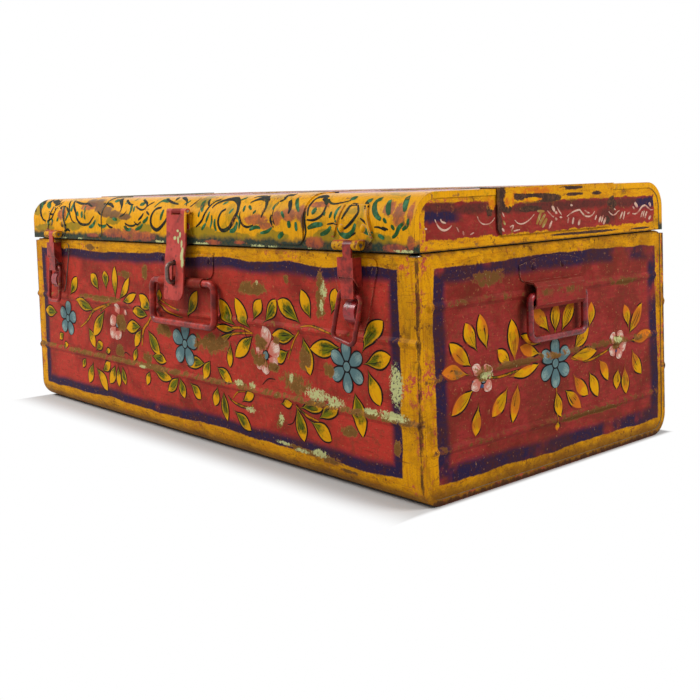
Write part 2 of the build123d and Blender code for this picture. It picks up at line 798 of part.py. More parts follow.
with BuildPart() as front_handle_plate:
    half = front_plate_width / 2
    outline = rounded(
        filled(
            (-half, front_plate_bottom),
            (half, front_plate_bottom),
            (half, front_plate_top),
            (-half, front_plate_top),
        ),
        {
            (-half, front_plate_bottom): front_plate_corner,
            (half, front_plate_bottom): front_plate_corner,
        },
    )
    with BuildSketch(body_front_wall):
        with Locations((front_handle_x, 0)):
            add(outline)
    extrude(amount=fitting_sheet)
    with BuildSketch(section_plane(body_front_wall, front_handle_x)):
        with Locations((0, front_bail_height)):
            Rectangle(
                fitting_sheet,
                front_plate_bottom - front_bail_height + fitting_sheet,
                align=(Align.MIN, Align.MIN),
            )
        with Locations((barrel_outset, front_bail_height)):
            Circle(front_barrel_radius)
    extrude(amount=front_barrel_width / 2, both=True)
    with BuildSketch(section_plane(body_front_wall, front_handle_x)):
        with Locations((barrel_outset, front_bail_height)):
            Circle(barrel_bore)
    extrude(amount=front_barrel_width / 2, both=True, mode=Mode.SUBTRACT)
    cut_rivet_holes(body_front_wall, front_handle_rivet_places)
    for height in staple_leg_heights:
        with Locations(at_wall(body_front_wall, hasp_x, height)):
            Cylinder(staple_radius + staple_clearance, 4 * barrel_outset, mode=Mode.SUBTRACT)
save(front_handle_plate.part, "front_handle_plate")
save(
    make_rivets([(body_front_wall, front_handle_rivet_places, fitting_sheet)]),
    "front_handle_rivets",
)


def make_bail(wall, along, height, outset, legs, drop, radius, corners, insert_from, lean):
    """Round-bar drop handle. Its plane leans outwards about the axis of its turned-in ends.

    corners holds the bend radius at its two upper corners and at its two lower corners.
    """
    upper, lower = corners
    lean_out = radians(lean)
    pivot = wall.from_local_coords((along, height, outset))
    upwards = wall.y_dir * cos(lean_out) - wall.z_dir * sin(lean_out)
    plane = Plane(pivot, x_dir=wall.x_dir, z_dir=wall.x_dir.cross(upwards))
    with BuildPart() as bail:
        with BuildLine(plane) as path:
            FilletPolyline(
                (-insert_from, 0),
                (-legs / 2, 0),
                (-legs / 2, -drop),
                (legs / 2, -drop),
                (legs / 2, 0),
                (insert_from, 0),
                radius=(upper, lower, lower, upper),
            )
        with BuildSketch(Plane(path.line @ 0, z_dir=path.line % 0)):
            Circle(radius)
        sweep(path=path.line)
    return bail.part


save(
    make_bail(
        body_front_wall,
        along=front_handle_x,
        height=front_bail_height,
        outset=barrel_outset,
        legs=front_bail_width - 2 * front_bail_radius,
        drop=front_bail_drop,
        radius=front_bail_radius,
        corners=(front_bail_corner, front_bail_corner),
        insert_from=front_barrel_width / 2 - front_bail_insert,
        lean=front_bail_lean,
    ),
    "front_handle_bail",
)

# ---------------------------------------------------------------- end handles
for hand, wall in body_end_walls.items():
    along = end_handle_along[hand]
    half = end_plate_width / 2
    with BuildSketch() as flange:
        with BuildLine():
            Polyline(
                (-half, end_plate_shoulder),
                (-half, end_plate_bottom),
                (half, end_plate_bottom),
                (half, end_plate_shoulder),
            )
            ThreePointArc(
                (half, end_plate_shoulder), (0, end_plate_crown), (-half, end_plate_shoulder)
            )
        make_face()
    bottom_corners = {
        (-half, end_plate_bottom): end_plate_corner,
        (half, end_plate_bottom): end_plate_corner,
    }
    with BuildPart() as end_handle_plate:
        with BuildSketch(wall):
            with Locations((along, 0)):
                add(rounded(flange.sketch, bottom_corners))
        extrude(amount=fitting_sheet)
        # pocket that holds the turned-in ends of the bail, open at both ends
        shell = filled(
            (0, pocket_bottom),
            (pocket_reach - pocket_bevel, pocket_bottom),
            (pocket_reach, pocket_bottom + pocket_bevel),
            (pocket_reach, pocket_top - pocket_bevel),
            (pocket_reach - pocket_bevel, pocket_top),
            (0, pocket_top + fitting_sheet),
        )
        hollow = filled(
            (0, pocket_bottom + strap_sheet),
            (pocket_reach - pocket_bevel - strap_sheet / 2, pocket_bottom + strap_sheet),
            (pocket_reach - strap_sheet, pocket_bottom + pocket_bevel + strap_sheet / 2),
            (pocket_reach - strap_sheet, pocket_top - pocket_bevel - strap_sheet / 2),
            (pocket_reach - pocket_bevel - strap_sheet / 2, pocket_top - strap_sheet),
            (0, pocket_top - strap_sheet),
        )
        with BuildSketch(section_plane(wall, along)):
            add(shell)
            add(hollow, mode=Mode.SUBTRACT)
        extrude(amount=pocket_width / 2, both=True)
        cut_rivet_holes(wall, end_handle_rivet_places[hand])
    save(end_handle_plate.part, f"end_handle_plate_{hand}")
    save(
        make_bail(
            wall,
            along=along,
            height=end_bail_height,
            outset=end_bail_outset,
            legs=end_bail_spacing,
            drop=end_bail_drop,
            radius=end_bail_radius,
            corners=(end_bail_upper_corner, end_bail_corner),
            insert_from=pocket_width / 2 - end_bail_insert,
            lean=0,
        ),
        f"end_handle_bail_{hand}",
    )
save(
    make_rivets(
        [
            (wall, end_handle_rivet_places[hand], fitting_sheet)
            for hand, wall in body_end_walls.items()
        ]
    ),
    "end_handle_rivets",
)

# --------------------------------------------------------------- side latches
base_half_outline = [
    (latch_base_half_top, latch_base_top),
    (latch_base_half_top, latch_base_top - latch_base_shoulder),
    (latch_base_half_waist, latch_base_top - latch_base_waist),
    (latch_base_half_foot, latch_base_top - latch_base_foot),
]
lid_half_outline = [
    (lid_latch_half_top, lid_latch_top),
    (lid_latch_half_width, lid_latch_shoulder),
    (latch_right_knuckle[1], lid_latch_bottom),
]


def symmetric(half_outline):
    """Sketch of a shape given by its right-hand half."""
    return filled(*half_outline, *[(-x, y) for x, y in half_outline[::-1]])


def make_lid_layer(along, low, high, outline):
    """Sheet bent over the lid's front, between two heights above its face, cut to an outline."""
    with BuildPart() as layer:
        with BuildSketch(Plane.YZ.offset(along)):
            add(lid_section(-high, lid_bottom))
            add(lid_section(-low, lid_bottom), mode=Mode.SUBTRACT)
        extrude(amount=2 * lid_latch_half_width, both=True)
        with BuildSketch(lid_front_wall.offset(-lid_radius)):
            with Locations((along, 0)):
                add(outline)
        extrude(amount=2 * lid_radius, mode=Mode.INTERSECT)
    return layer.part


def make_knuckle(section, axis, radius, start, end):
    """Round bar between two places along a hinge axis."""
    with BuildPart() as knuckle:
        with BuildSketch(section.offset(-start)):
            with Locations(axis):
                Circle(radius)
        extrude(amount=-(end - start))
    return knuckle.part


for hand, x in latch_x.items():
    section = section_plane(body_front_wall, x)
    axis = (latch_axis_outset, latch_axis_height)
    bore = latch_pin_radius + pin_clearance

    with BuildPart() as latch_base:
        corners = {
            (sign * px, py): latch_base_corner for px, py in base_half_outline for sign in (-1, 1)
        }
        with BuildSketch(body_front_wall):
            with Locations((x, 0)):
                add(rounded(symmetric(base_half_outline), corners))
        extrude(amount=fitting_sheet)
        cut_rivet_holes(body_front_wall, latch_base_rivet_places)
    save(latch_base.part, f"latch_base_{hand}")

    with BuildPart() as latch_arch:
        middle = (arch_top + arch_bottom) / 2
        with BuildSketch(section):
            with BuildLine():
                ThreePointArc(
                    (fitting_sheet, arch_top), (arch_reach, middle), (fitting_sheet, arch_bottom)
                )
                Line((fitting_sheet, arch_bottom), (fitting_sheet, arch_bottom + strap_sheet))
                ThreePointArc(
                    (fitting_sheet, arch_bottom + strap_sheet),
                    (arch_reach - strap_sheet, middle),
                    (fitting_sheet, arch_top - strap_sheet),
                )
                Line((fitting_sheet, arch_top - strap_sheet), (fitting_sheet, arch_top))
            make_face()
        extrude(amount=arch_half_width, both=True)
    save(latch_arch.part, f"latch_arch_{hand}")

    with BuildPart() as lid_latch_plate:
        # sheet that follows the lid's rounded edge, with a raised rib down each slanting side
        add(make_lid_layer(x, 0, fitting_sheet, symmetric(lid_half_outline)))
        for sign in (-1, 1):
            top_point = (sign * lid_latch_half_top, lid_latch_top)
            low_point = (sign * lid_latch_half_width, lid_latch_shoulder)
            inset = -sign * lid_latch_rib_width
            rib = filled(
                top_point,
                low_point,
                (low_point[0] + inset, low_point[1]),
                (top_point[0] + inset, top_point[1]),
            )
            add(make_lid_layer(x, 0, lid_latch_rib_height, rib))
        # knuckles at its lower edge, tangent to the plate's tabs
        for start, end in (latch_left_knuckle, latch_right_knuckle):
            add(make_knuckle(section, axis, latch_knuckle_radius, start, end))
            with BuildSketch(section.offset(-start)):
                with Locations((lid_front_overhang, latch_axis_height)):
                    Rectangle(
                        latch_axis_outset - lid_front_overhang,
                        latch_knuckle_radius,
                        align=(Align.MIN, Align.MIN),
                    )
            extrude(amount=-(end - start))
        with BuildSketch(section):
            with Locations(axis):
                Circle(bore)
        extrude(amount=lid_latch_half_width, both=True, mode=Mode.SUBTRACT)
        cut_rivet_holes(lid_front_wall, lid_latch_rivet_places)
    save(lid_latch_plate.part, f"lid_latch_plate_{hand}")

    with BuildPart() as latch_pin:
        pin_start, pin_end = latch_left_knuckle[0], latch_right_knuckle[1]
        add(make_knuckle(section, axis, latch_pin_radius, pin_start, pin_end))
    save(latch_pin.part, f"latch_pin_{hand}")

    tongue_front = arm_reach - strap_sheet
    loop_axis = (tongue_front - strap_sheet - ring_loop_radius, ring_axis_height)
    with BuildPart() as latch_arm:
        # channel: two sides and a front
        side_profile = filled(
            (arm_side_inset, arm_top),
            (arm_reach, arm_top),
            (arm_reach, arm_front_bottom),
            (arm_reach / 2, arm_side_bottom),
            (arm_side_inset, arm_side_bottom),
        )
        with BuildSketch(section):
            add(side_profile)
        extrude(amount=arm_width / 2, both=True)
        inner_width = arm_width - 2 * strap_sheet
        with BuildSketch(section):
            with Locations((0, arm_top)):
                Rectangle(
                    arm_reach - strap_sheet,
                    2 * (arm_top - arm_side_bottom),
                    align=(Align.MIN, Align.CENTER),
                )
            with Locations((0, arm_front_bottom)):
                Rectangle(
                    2 * arm_reach,
                    arm_front_bottom,
                    align=(Align.MIN, Align.MAX),
                )
        extrude(amount=inner_width / 2, both=True, mode=Mode.SUBTRACT)
        # neck from the knuckle to the channel's front
        neck_start, neck_end = latch_arm_knuckle
        with BuildSketch(section.offset(-neck_start)):
            with BuildLine():
                Polyline(
                    (latch_axis_outset + latch_knuckle_radius, latch_axis_height),
                    (arm_reach, arm_top - strap_sheet),
                    (arm_reach - strap_sheet, arm_top - strap_sheet),
                    (latch_axis_outset + bore, latch_axis_height),
                    close=True,
                )
            make_face()
        extrude(amount=-(neck_end - neck_start))
        add(make_knuckle(section, axis, latch_knuckle_radius, neck_start, neck_end))
        with BuildSketch(section):
            with Locations(axis):
                Circle(bore)
        extrude(amount=arm_width, both=True, mode=Mode.SUBTRACT)
        # tongue behind the channel's front, with the hook for the ring
        with BuildSketch(section):
            with Locations((tongue_front - strap_sheet, tongue_bottom)):
                Rectangle(
                    strap_sheet,
                    arm_front_bottom + tongue_overlap - tongue_bottom,
                    align=(Align.MIN, Align.MIN),
                )
        extrude(amount=tongue_width / 2, both=True)
        with BuildSketch(section):
            with Locations(loop_axis):
                Circle(ring_loop_radius + strap_sheet)
                Circle(ring_loop_radius, mode=Mode.SUBTRACT)
        extrude(amount=ring_loop_width / 2, both=True)
    save(latch_arm.part, f"latch_arm_{hand}")

    with BuildPart() as latch_ring:
        lean, skew = radians(ring_lean), radians(latch_ring_skew[hand])
        pivot = body_front_wall.from_local_coords((x, loop_axis[1], loop_axis[0]))
        outwards, along_wall = body_front_wall.z_dir, body_front_wall.x_dir
        upwards = body_front_wall.y_dir * cos(lean) - outwards * sin(lean)
        normal = along_wall.cross(upwards)
        ring_plane = Plane(
            pivot, x_dir=along_wall * cos(skew) - upwards * sin(skew), z_dir=normal
        )
        half_bar = ring_width / 2 - ring_bar_radius
        ring_drop = ring_height - 2 * ring_bar_radius
        with BuildLine(ring_plane) as ring_path:
            FilletPolyline(
                (-half_bar, 0),
                (-half_bar, -ring_drop),
                (half_bar, -ring_drop),
                (half_bar, 0),
                radius=ring_corner,
                close=True,
            )
        with BuildSketch(Plane(ring_path.line @ 0, z_dir=ring_path.line % 0)):
            Circle(ring_bar_radius)
        sweep(path=ring_path.line)
    save(latch_ring.part, f"latch_ring_{hand}")

save(
    make_rivets([(body_front_wall, latch_base_rivet_places, fitting_sheet)]),
    "latch_base_rivets",
)
save(
    make_rivets([(lid_front_wall, lid_latch_rivet_places, fitting_sheet)]), "lid_latch_rivets"
)
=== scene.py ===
"""Looks of the painted trunk: finishes on the CAD pieces, brushed ornament, floor, light, camera.

The trunk's frame is in metres; patterns, strokes and the heights named here are in millimetres.
On each wall, u runs to the right as seen from outside and v runs up.
"""

import math
import random

import bpy
from mathutils import Matrix, Vector
from mathutils.bvhtree import BVHTree


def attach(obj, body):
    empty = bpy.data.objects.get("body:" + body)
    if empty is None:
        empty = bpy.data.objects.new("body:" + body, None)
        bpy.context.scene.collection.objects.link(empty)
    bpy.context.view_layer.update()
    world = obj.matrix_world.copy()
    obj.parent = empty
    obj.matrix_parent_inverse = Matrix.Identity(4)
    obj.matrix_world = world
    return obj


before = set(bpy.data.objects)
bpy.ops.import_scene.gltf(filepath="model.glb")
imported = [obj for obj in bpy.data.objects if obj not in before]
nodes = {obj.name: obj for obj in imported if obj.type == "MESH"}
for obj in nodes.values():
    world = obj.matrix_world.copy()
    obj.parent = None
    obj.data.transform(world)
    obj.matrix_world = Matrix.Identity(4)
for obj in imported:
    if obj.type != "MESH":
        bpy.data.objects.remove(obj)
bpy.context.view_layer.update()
scene = bpy.context.scene
MM = 0.001


# ------------------------------------------------------------------- colours
def linear(channel):
    value = channel / 255
    return value / 12.92 if value <= 0.04045 else ((value + 0.055) / 1.055) ** 2.4


def rgb(red, green, blue):
    return (linear(red), linear(green), linear(blue), 1.0)


RED = rgb(184, 54, 43)
DEEP_RED = rgb(126, 36, 30)
PINK_RED = rgb(196, 70, 58)
YELLOW = rgb(224, 156, 6)
DEEP_YELLOW = rgb(192, 118, 10)
BAND_BLUE = rgb(38, 28, 62)
LEAF_YELLOW = rgb(222, 160, 4)
LEAF_GREEN = rgb(44, 58, 14)
STEM_OLIVE = rgb(84, 78, 14)
LID_GREEN = rgb(34, 78, 38)
INK = rgb(22, 14, 16)
PETAL_BLUE = rgb(86, 114, 117)
PETAL_PALE = rgb(136, 160, 154)
PETAL_WHITE = rgb(226, 208, 190)
BLOSSOM_PINK = rgb(196, 112, 96)
OLIVE_PRIMER = rgb(154, 114, 56)
PALE_PRIMER = rgb(188, 190, 130)
RUST = rgb(96, 52, 28)
GRIME = rgb(46, 28, 22)
SEAM_DARK = rgb(64, 38, 26)
CREAM = rgb(208, 170, 150)
BARE_STEEL = rgb(150, 146, 140)
DARK_STEEL = rgb(84, 74, 68)
INNER_PAINT = rgb(112, 122, 116)


# -------------------------------------------------------------- node helpers
def feed(tree, sockets, values):
    """Gives each socket its value, or links another node's socket to it."""
    for key, value in values.items():
        if isinstance(value, bpy.types.NodeSocket):
            tree.links.new(value, sockets[key])
        else:
            sockets[key].default_value = value


def add(tree, kind, values=None, **settings):
    node = tree.nodes.new("ShaderNode" + kind)
    for key, value in settings.items():
        setattr(node, key, value)
    feed(tree, node.inputs, values or {})
    return node


def calc(tree, operation, a, b=0.0, c=0.0, clamp=False):
    node = add(tree, "Math", {0: a, 1: b, 2: c}, operation=operation, use_clamp=clamp)
    return node.outputs[0]


def plus(tree, a, b):
    return calc(tree, "ADD", a, b)


def minus(tree, a, b):
    return calc(tree, "SUBTRACT", a, b)


def times(tree, a, b):
    return calc(tree, "MULTIPLY", a, b)


def absolute(tree, value):
    return calc(tree, "ABSOLUTE", value)


def scaled(tree, value, factor, offset):
    return calc(tree, "MULTIPLY_ADD", value, factor, offset)


def centred(tree, value, width):
    """A value from 0 to 1, spread over this width round 0."""
    return scaled(tree, value, width, -width / 2)


def highest(tree, first, *others):
    for value in others:
        first = calc(tree, "MAXIMUM", first, value)
    return first


def ease(tree, value, low, high, most=1.0):
    """0 below low and most above high, or the other way round where low is the larger."""
    limits = {"Value": value, "From Min": low, "From Max": high, "To Max": most}
    return add(tree, "MapRange", limits, interpolation_type="SMOOTHSTEP").outputs["Result"]


def tint(tree, factor, below, above):
    """The colour below where factor is 0, and the colour above where it is 1."""
    node = add(tree, "Mix", {0: factor, 6: below, 7: above}, data_type="RGBA")
    return node.outputs[2]


def noise(tree, vector, scale, detail=4.0, roughness=0.55, distortion=0.0):
    kind = {"Scale": scale, "Detail": detail, "Roughness": roughness, "Distortion": distortion}
    return add(tree, "TexNoise", {"Vector": vector, **kind}).outputs[0]


def vector_calc(tree, operation, a, b=(0, 0, 0)):
    """A new vector, or the number that a dot product or a length gives."""
    second = "Scale" if operation == "SCALE" else 1
    node = add(tree, "VectorMath", {0: a, second: b}, operation=operation)
    return node.outputs[1 if operation in ("DOT_PRODUCT", "LENGTH") else 0]


def stretched(tree, vector, factors):
    return vector_calc(tree, "MULTIPLY", vector, factors)


def joined(tree, x, y, z):
    return add(tree, "CombineXYZ", {0: x, 1: y, 2: z}).outputs[0]


def apart(tree, vector):
    node = add(tree, "SeparateXYZ", {0: vector})
    return node.outputs[0], node.outputs[1], node.outputs[2]


def in_millimetres(tree):
    """Object coordinates in millimetres."""
    return vector_calc(tree, "SCALE", add(tree, "TexCoord").outputs["Object"], 1 / MM)


def along_wall(tree, x, y, on_ends):
    """How far to the right of its middle a wall's point lies, and on which of two walls."""
    if on_ends:
        side = calc(tree, "SIGN", x)
        return times(tree, y, side), side
    side = calc(tree, "SIGN", y)
    return times(tree, x, times(tree, side, -1.0)), side


def new_group(name, inputs, outputs):
    tree = bpy.data.node_groups.new(name, "ShaderNodeTree")
    for side, sockets in (("INPUT", inputs), ("OUTPUT", outputs)):
        for label, kind in sockets.items():
            tree.interface.new_socket(label, in_out=side, socket_type="NodeSocket" + kind)
    entry = tree.nodes.new("NodeGroupInput").outputs
    result = tree.nodes.new("NodeGroupOutput").inputs
    return tree, entry, result


def use(tree, group, values):
    """The outputs of a group placed in a material or in another group."""
    node = tree.nodes.new("ShaderNodeGroup")
    node.node_tree = group
    feed(tree, node.inputs, values)
    return node.outputs


def new_material(name):
    material = bpy.data.materials.new(name)
    material.use_nodes = True
    tree = material.node_tree
    return material, tree, tree.nodes["Principled BSDF"].inputs


def reopened(material):
    """A finished material's nodes, its shader's sockets and the colour that it has so far."""
    tree = material.node_tree
    shader = tree.nodes["Principled BSDF"].inputs
    return tree, shader, shader["Base Color"].links[0].from_socket


def coat(tree, shader, colour, rough, gloss, relief, depth, strength):
    """Feeds a painted surface's shader; depth is the relief's, in millimetres."""
    settings = {"Strength": strength, "Distance": depth * MM, "Height": relief}
    normal = add(tree, "Bump", settings).outputs[0]
    looks = {"Base Color": colour, "Roughness": rough, "Specular IOR Level": gloss}
    feed(tree, shader, {**looks, "Normal": normal})


# --------------------------------------------------------------- shared wear
# what every wear group puts out
WEAR = {"Primer": "Float", "Flake": "Float", "Grime": "Float", "Relief": "Float"}


def make_edge_wear_and_light():
    """Mask of the outer edges of pressed sheet, broken up by noise."""
    tree, entry, result = new_group(
        "edge_wear_and_light_group", {"Radius": "Float", "Place": "Vector"}, {"WearAndLight": "Float"}
    )
    rounded = add(tree, "Bevel", {"Radius": entry["Radius"]}, samples=4).outputs[0]
    flat = add(tree, "NewGeometry").outputs["Normal"]
    facing = vector_calc(tree, "DOT_PRODUCT", rounded, flat)
    edge = ease(tree, facing, 0.985, 0.86)
    patchy = noise(tree, entry["Place"], 0.11, 5.0, 0.65)
    feed(tree, result, {"WearAndLight": times(tree, edge, ease(tree, patchy, 0.42, 0.58))})
    return tree


def make_spots(name, spots):
    """Height of a field of soft oval spots: each is (x, z, half width, half height) in mm."""
    tree, entry, result = new_group(name, {"Place": "Vector"}, {"Field": "Float"})
    fields = []
    for x, z, half_wide, half_high in spots:
        shift = vector_calc(tree, "SUBTRACT", entry["Place"], (x, 0, z))
        oval = stretched(tree, shift, (1 / half_wide, 0, 1 / half_high))
        fields.append(ease(tree, vector_calc(tree, "LENGTH", oval), 1.7, 0.3))
    feed(tree, result, {"Field": highest(tree, *fields)})
    return tree


def make_flaking():
    """Where the paint has gone: down to olive primer, pale flakes in it, and grime."""
    tree, entry, result = new_group(
        "flaking", {"Place": "Vector", "Wear": "Float", "Pale": "Float"}, WEAR
    )
    place = entry["Place"]
    coarse = noise(tree, place, 0.03, 5.0, 0.6, 0.4)
    medium = noise(tree, place, 0.1, 5.0, 0.68, 0.6)
    fine = noise(tree, place, 0.34, 4.0, 0.7)
    level = entry["Wear"]
    for cloud, width in ((coarse, 0.7), (medium, 1.7), (fine, 0.7)):
        level = plus(tree, level, centred(tree, cloud, width))
    primer = ease(tree, level, 0.38, 0.66)
    flecks = noise(tree, stretched(tree, place, (1.2, 1.0, 0.8)), 0.3, 6.0, 0.82)
    pale_level = plus(tree, entry["Pale"], centred(tree, flecks, 3.4))
    pale_level = times(tree, pale_level, ease(tree, entry["Pale"], 0.0, 0.3))
    stray = times(tree, ease(tree, flecks, 0.62, 0.66), primer)
    holes = noise(tree, place, 0.42, 3.0, 0.6, 0.5)
    open_up = centred(tree, holes, -3.0)
    pale_level = plus(tree, pale_level, calc(tree, "MINIMUM", open_up, 0.12))
    flake = highest(tree, ease(tree, pale_level, 0.5, 0.7), stray)
    dirt = noise(tree, place, 0.012, 5.0, 0.6)
    grime = ease(tree, dirt, 0.5, 0.85)
    relief = minus(tree, times(tree, fine, 0.35), primer)
    feed(tree, result, {"Primer": primer, "Flake": flake, "Grime": grime, "Relief": relief})
    return tree


def make_brushed():
    """Streaks left by a level brush, or by an upright one where Upright is 1."""
    tree, entry, result = new_group(
        "brushed", {"Place": "Vector", "Upright": "Float"}, {"Streak": "Float"}
    )
    level = noise(tree, stretched(tree, entry["Place"], (0.05, 0.05, 0.22)), 1.0, 5.0, 0.65, 0.8)
    upright = noise(tree, stretched(tree, entry["Place"], (0.3, 0.3, 0.04)), 1.0, 5.0, 0.65, 0.8)
    mixed = add(tree, "Mix", {0: entry["Upright"], 2: level, 3: upright}).outputs[0]
    feed(tree, result, {"Streak": mixed})
    return tree


edge_wear_and_light_group = make_edge_wear_and_light()
flaking = make_flaking()
brushed = make_brushed()


def edges_for_wear_and_light(tree, place, radius):
    """Mask of the edges of a piece: their wear, painted shade on the lid's plates and a painted
    highlight on some fittings; the radius is in millimetres.
    """
    return use(tree, edge_wear_and_light_group, {"Radius": radius * MM, "Place": place})["WearAndLight"]


# soft ovals on the walls, as (x, z, half width, half height)
FRONT_WEAR = [
    (-217, 217, 13, 5), (-130, 186, 18, 5), (-82, 191, 7, 10), (-197, 152, 62, 4.5),
    (-152, 89, 12, 9), (-85, 88, 11, 9), (-41, 124, 19, 8), (-144, 125, 12, 12),
    (136, 184, 26, 8), (196, 196, 5, 7), (249, 181, 8, 24), (60, 118, 36, 12), (135, 116, 5, 7),
    (220, 118, 10, 12), (205, 92, 26, 12), (258, 111, 8, 8), (178, 50, 7, 9), (285, 56, 13, 6),
    (350, 52, 5, 7), (231, 25, 42, 3), (150, 128, 14, 9), (146, 110, 12, 9), (170, 104, 14, 5),
    (175, 132, 6, 5), (203, 27, 16, 2.4), (258, 22, 15, 3), (280, 17, 13, 2.2),
]
FRONT_PALE = [
    (108, 81, 8, 3), (132, 81, 6, 3), (238, 85, 17, 6), (266, 82, 13, 5), (318, 80, 10, 3),
    (345, 80, 20, 4), (199, 97, 3, 5), (127, 54, 9, 3), (180, 52, 4, 6), (351, 108, 8, 18),
    (146, 190, 2.5, 2.5), (184, 28, 12, 1.8), (212, 25, 10, 2.4), (240, 27, 12, 4),
    (254, 188, 5, 8), (250, 172, 3, 6), (-92, 75, 8, 2),
]
END_WEAR = [
    (-100, 198, 24, 8), (-60, 113, 40, 4), (120, 176, 30, 4), (60, 46, 60, 4), (-112, 108, 10, 6),
    (102, 112, 9, 7),
]
END_PALE = [(-105, 108, 9, 4), (104, 116, 7, 4)]

front_wear = make_spots("front_wear", FRONT_WEAR)
front_pale = make_spots("front_pale", FRONT_PALE)
end_wear = make_spots("end_wear", END_WEAR)
end_pale = make_spots("end_pale", END_PALE)

# how far from a bead's crest its rubbing starts and is full, and the depth given to each wall
CREST = (6.5, 1.5)
WALLS_APART = 37.0


def make_wall_wear(name, wear, pale, crests, on_ends):
    """Wear of one pair of walls, in the wall's own coordinates; the crests of its beads wear more.
    """
    tree, entry, result = new_group(name, {"Place": "Vector"}, WEAR)
    x, y, z = apart(tree, entry["Place"])
    along, side = along_wall(tree, x, y, on_ends)
    # each wall of the pair gets a depth of its own, so that they don't wear alike
    flat = joined(tree, along, times(tree, side, WALLS_APART), z)
    rubs = []
    for height, strength in crests:
        off = absolute(tree, minus(tree, z, height))
        rubs.append(ease(tree, off, *CREST, strength))
    field = use(tree, wear, {"Place": flat})["Field"]
    wear_level = highest(tree, times(tree, field, 0.8), highest(tree, *rubs))
    paleness = use(tree, pale, {"Place": flat})["Field"]
    worn = use(tree, flaking, {"Place": flat, "Wear": wear_level, "Pale": paleness})
    feed(tree, result, {label: worn[label] for label in WEAR})
    return tree


# (height, how worn) of the beads' crests
WALL_BEADS = ((77.0, 0.6), (149.5, 0.3))
END_BEADS = ((49.0, 0.42), (114.0, 0.5), (179.0, 0.42))
wall_wear = make_wall_wear("wall_wear", front_wear, front_pale, WALL_BEADS, False)
end_wall_wear = make_wall_wear("end_wall_wear", end_wear, end_pale, END_BEADS, True)


def make_frame_bands(name, left, right, low, high, band, fading, on_ends):
    """A painted frame: mask of the yellow border and of the dark band inside it."""
    tree, entry, result = new_group(
        name, {"Place": "Vector"}, {"Border": "Float", "Band": "Float", "Upright": "Float"}
    )
    x, y, z = apart(tree, entry["Place"])
    along, _ = along_wall(tree, x, y, on_ends)
    wobble = noise(tree, entry["Place"], 0.014, 2.0, 0.5)
    rag = noise(tree, entry["Place"], 0.3, 4.0, 0.65)
    shift = centred(tree, wobble, 12.0)
    shift = plus(tree, shift, centred(tree, rag, 2.4))
    aside = highest(tree, minus(tree, left, along), minus(tree, along, right))
    above = highest(tree, minus(tree, low, z), minus(tree, z, high))
    out = plus(tree, highest(tree, aside, above), shift)
    border = ease(tree, out, -0.6, 0.8)
    faded = noise(tree, entry["Place"], 0.012, 4.0, 0.6)
    band_mask = ease(tree, out, -band - 5.0, -band + 3.5)
    band_mask = times(tree, band_mask, ease(tree, faded, fading, fading + 0.12))
    upright = times(tree, calc(tree, "GREATER_THAN", aside, above), border)
    feed(tree, result, {"Border": border, "Band": band_mask, "Upright": upright})
    return tree


# the inner edges of the border (left, right, low, high), the dark band's width and its fading
FRONT_FRAME = (-363.0, 357.0, 24.0, 213.0, 11.0, 0.22)
END_FRAME = (-171.0, 180.0, 18.0, 213.0, 14.0, 0.32)
front_frame = make_frame_bands("front_frame", *FRONT_FRAME, False)
end_frame = make_frame_bands("end_frame", *END_FRAME, True)

# where darkening, rust, dirt and painted shade start and where they are full, in height above the
# ground
LOW_DARKENING = (24.0, 2.0)
HEM = (4.2, 1.2)
UNDERSIDE = (1.0, 0.4)
LID_SHADE = (219.0, 226.0)
OUT_OF_SIGHT = (229.0, 228.4)


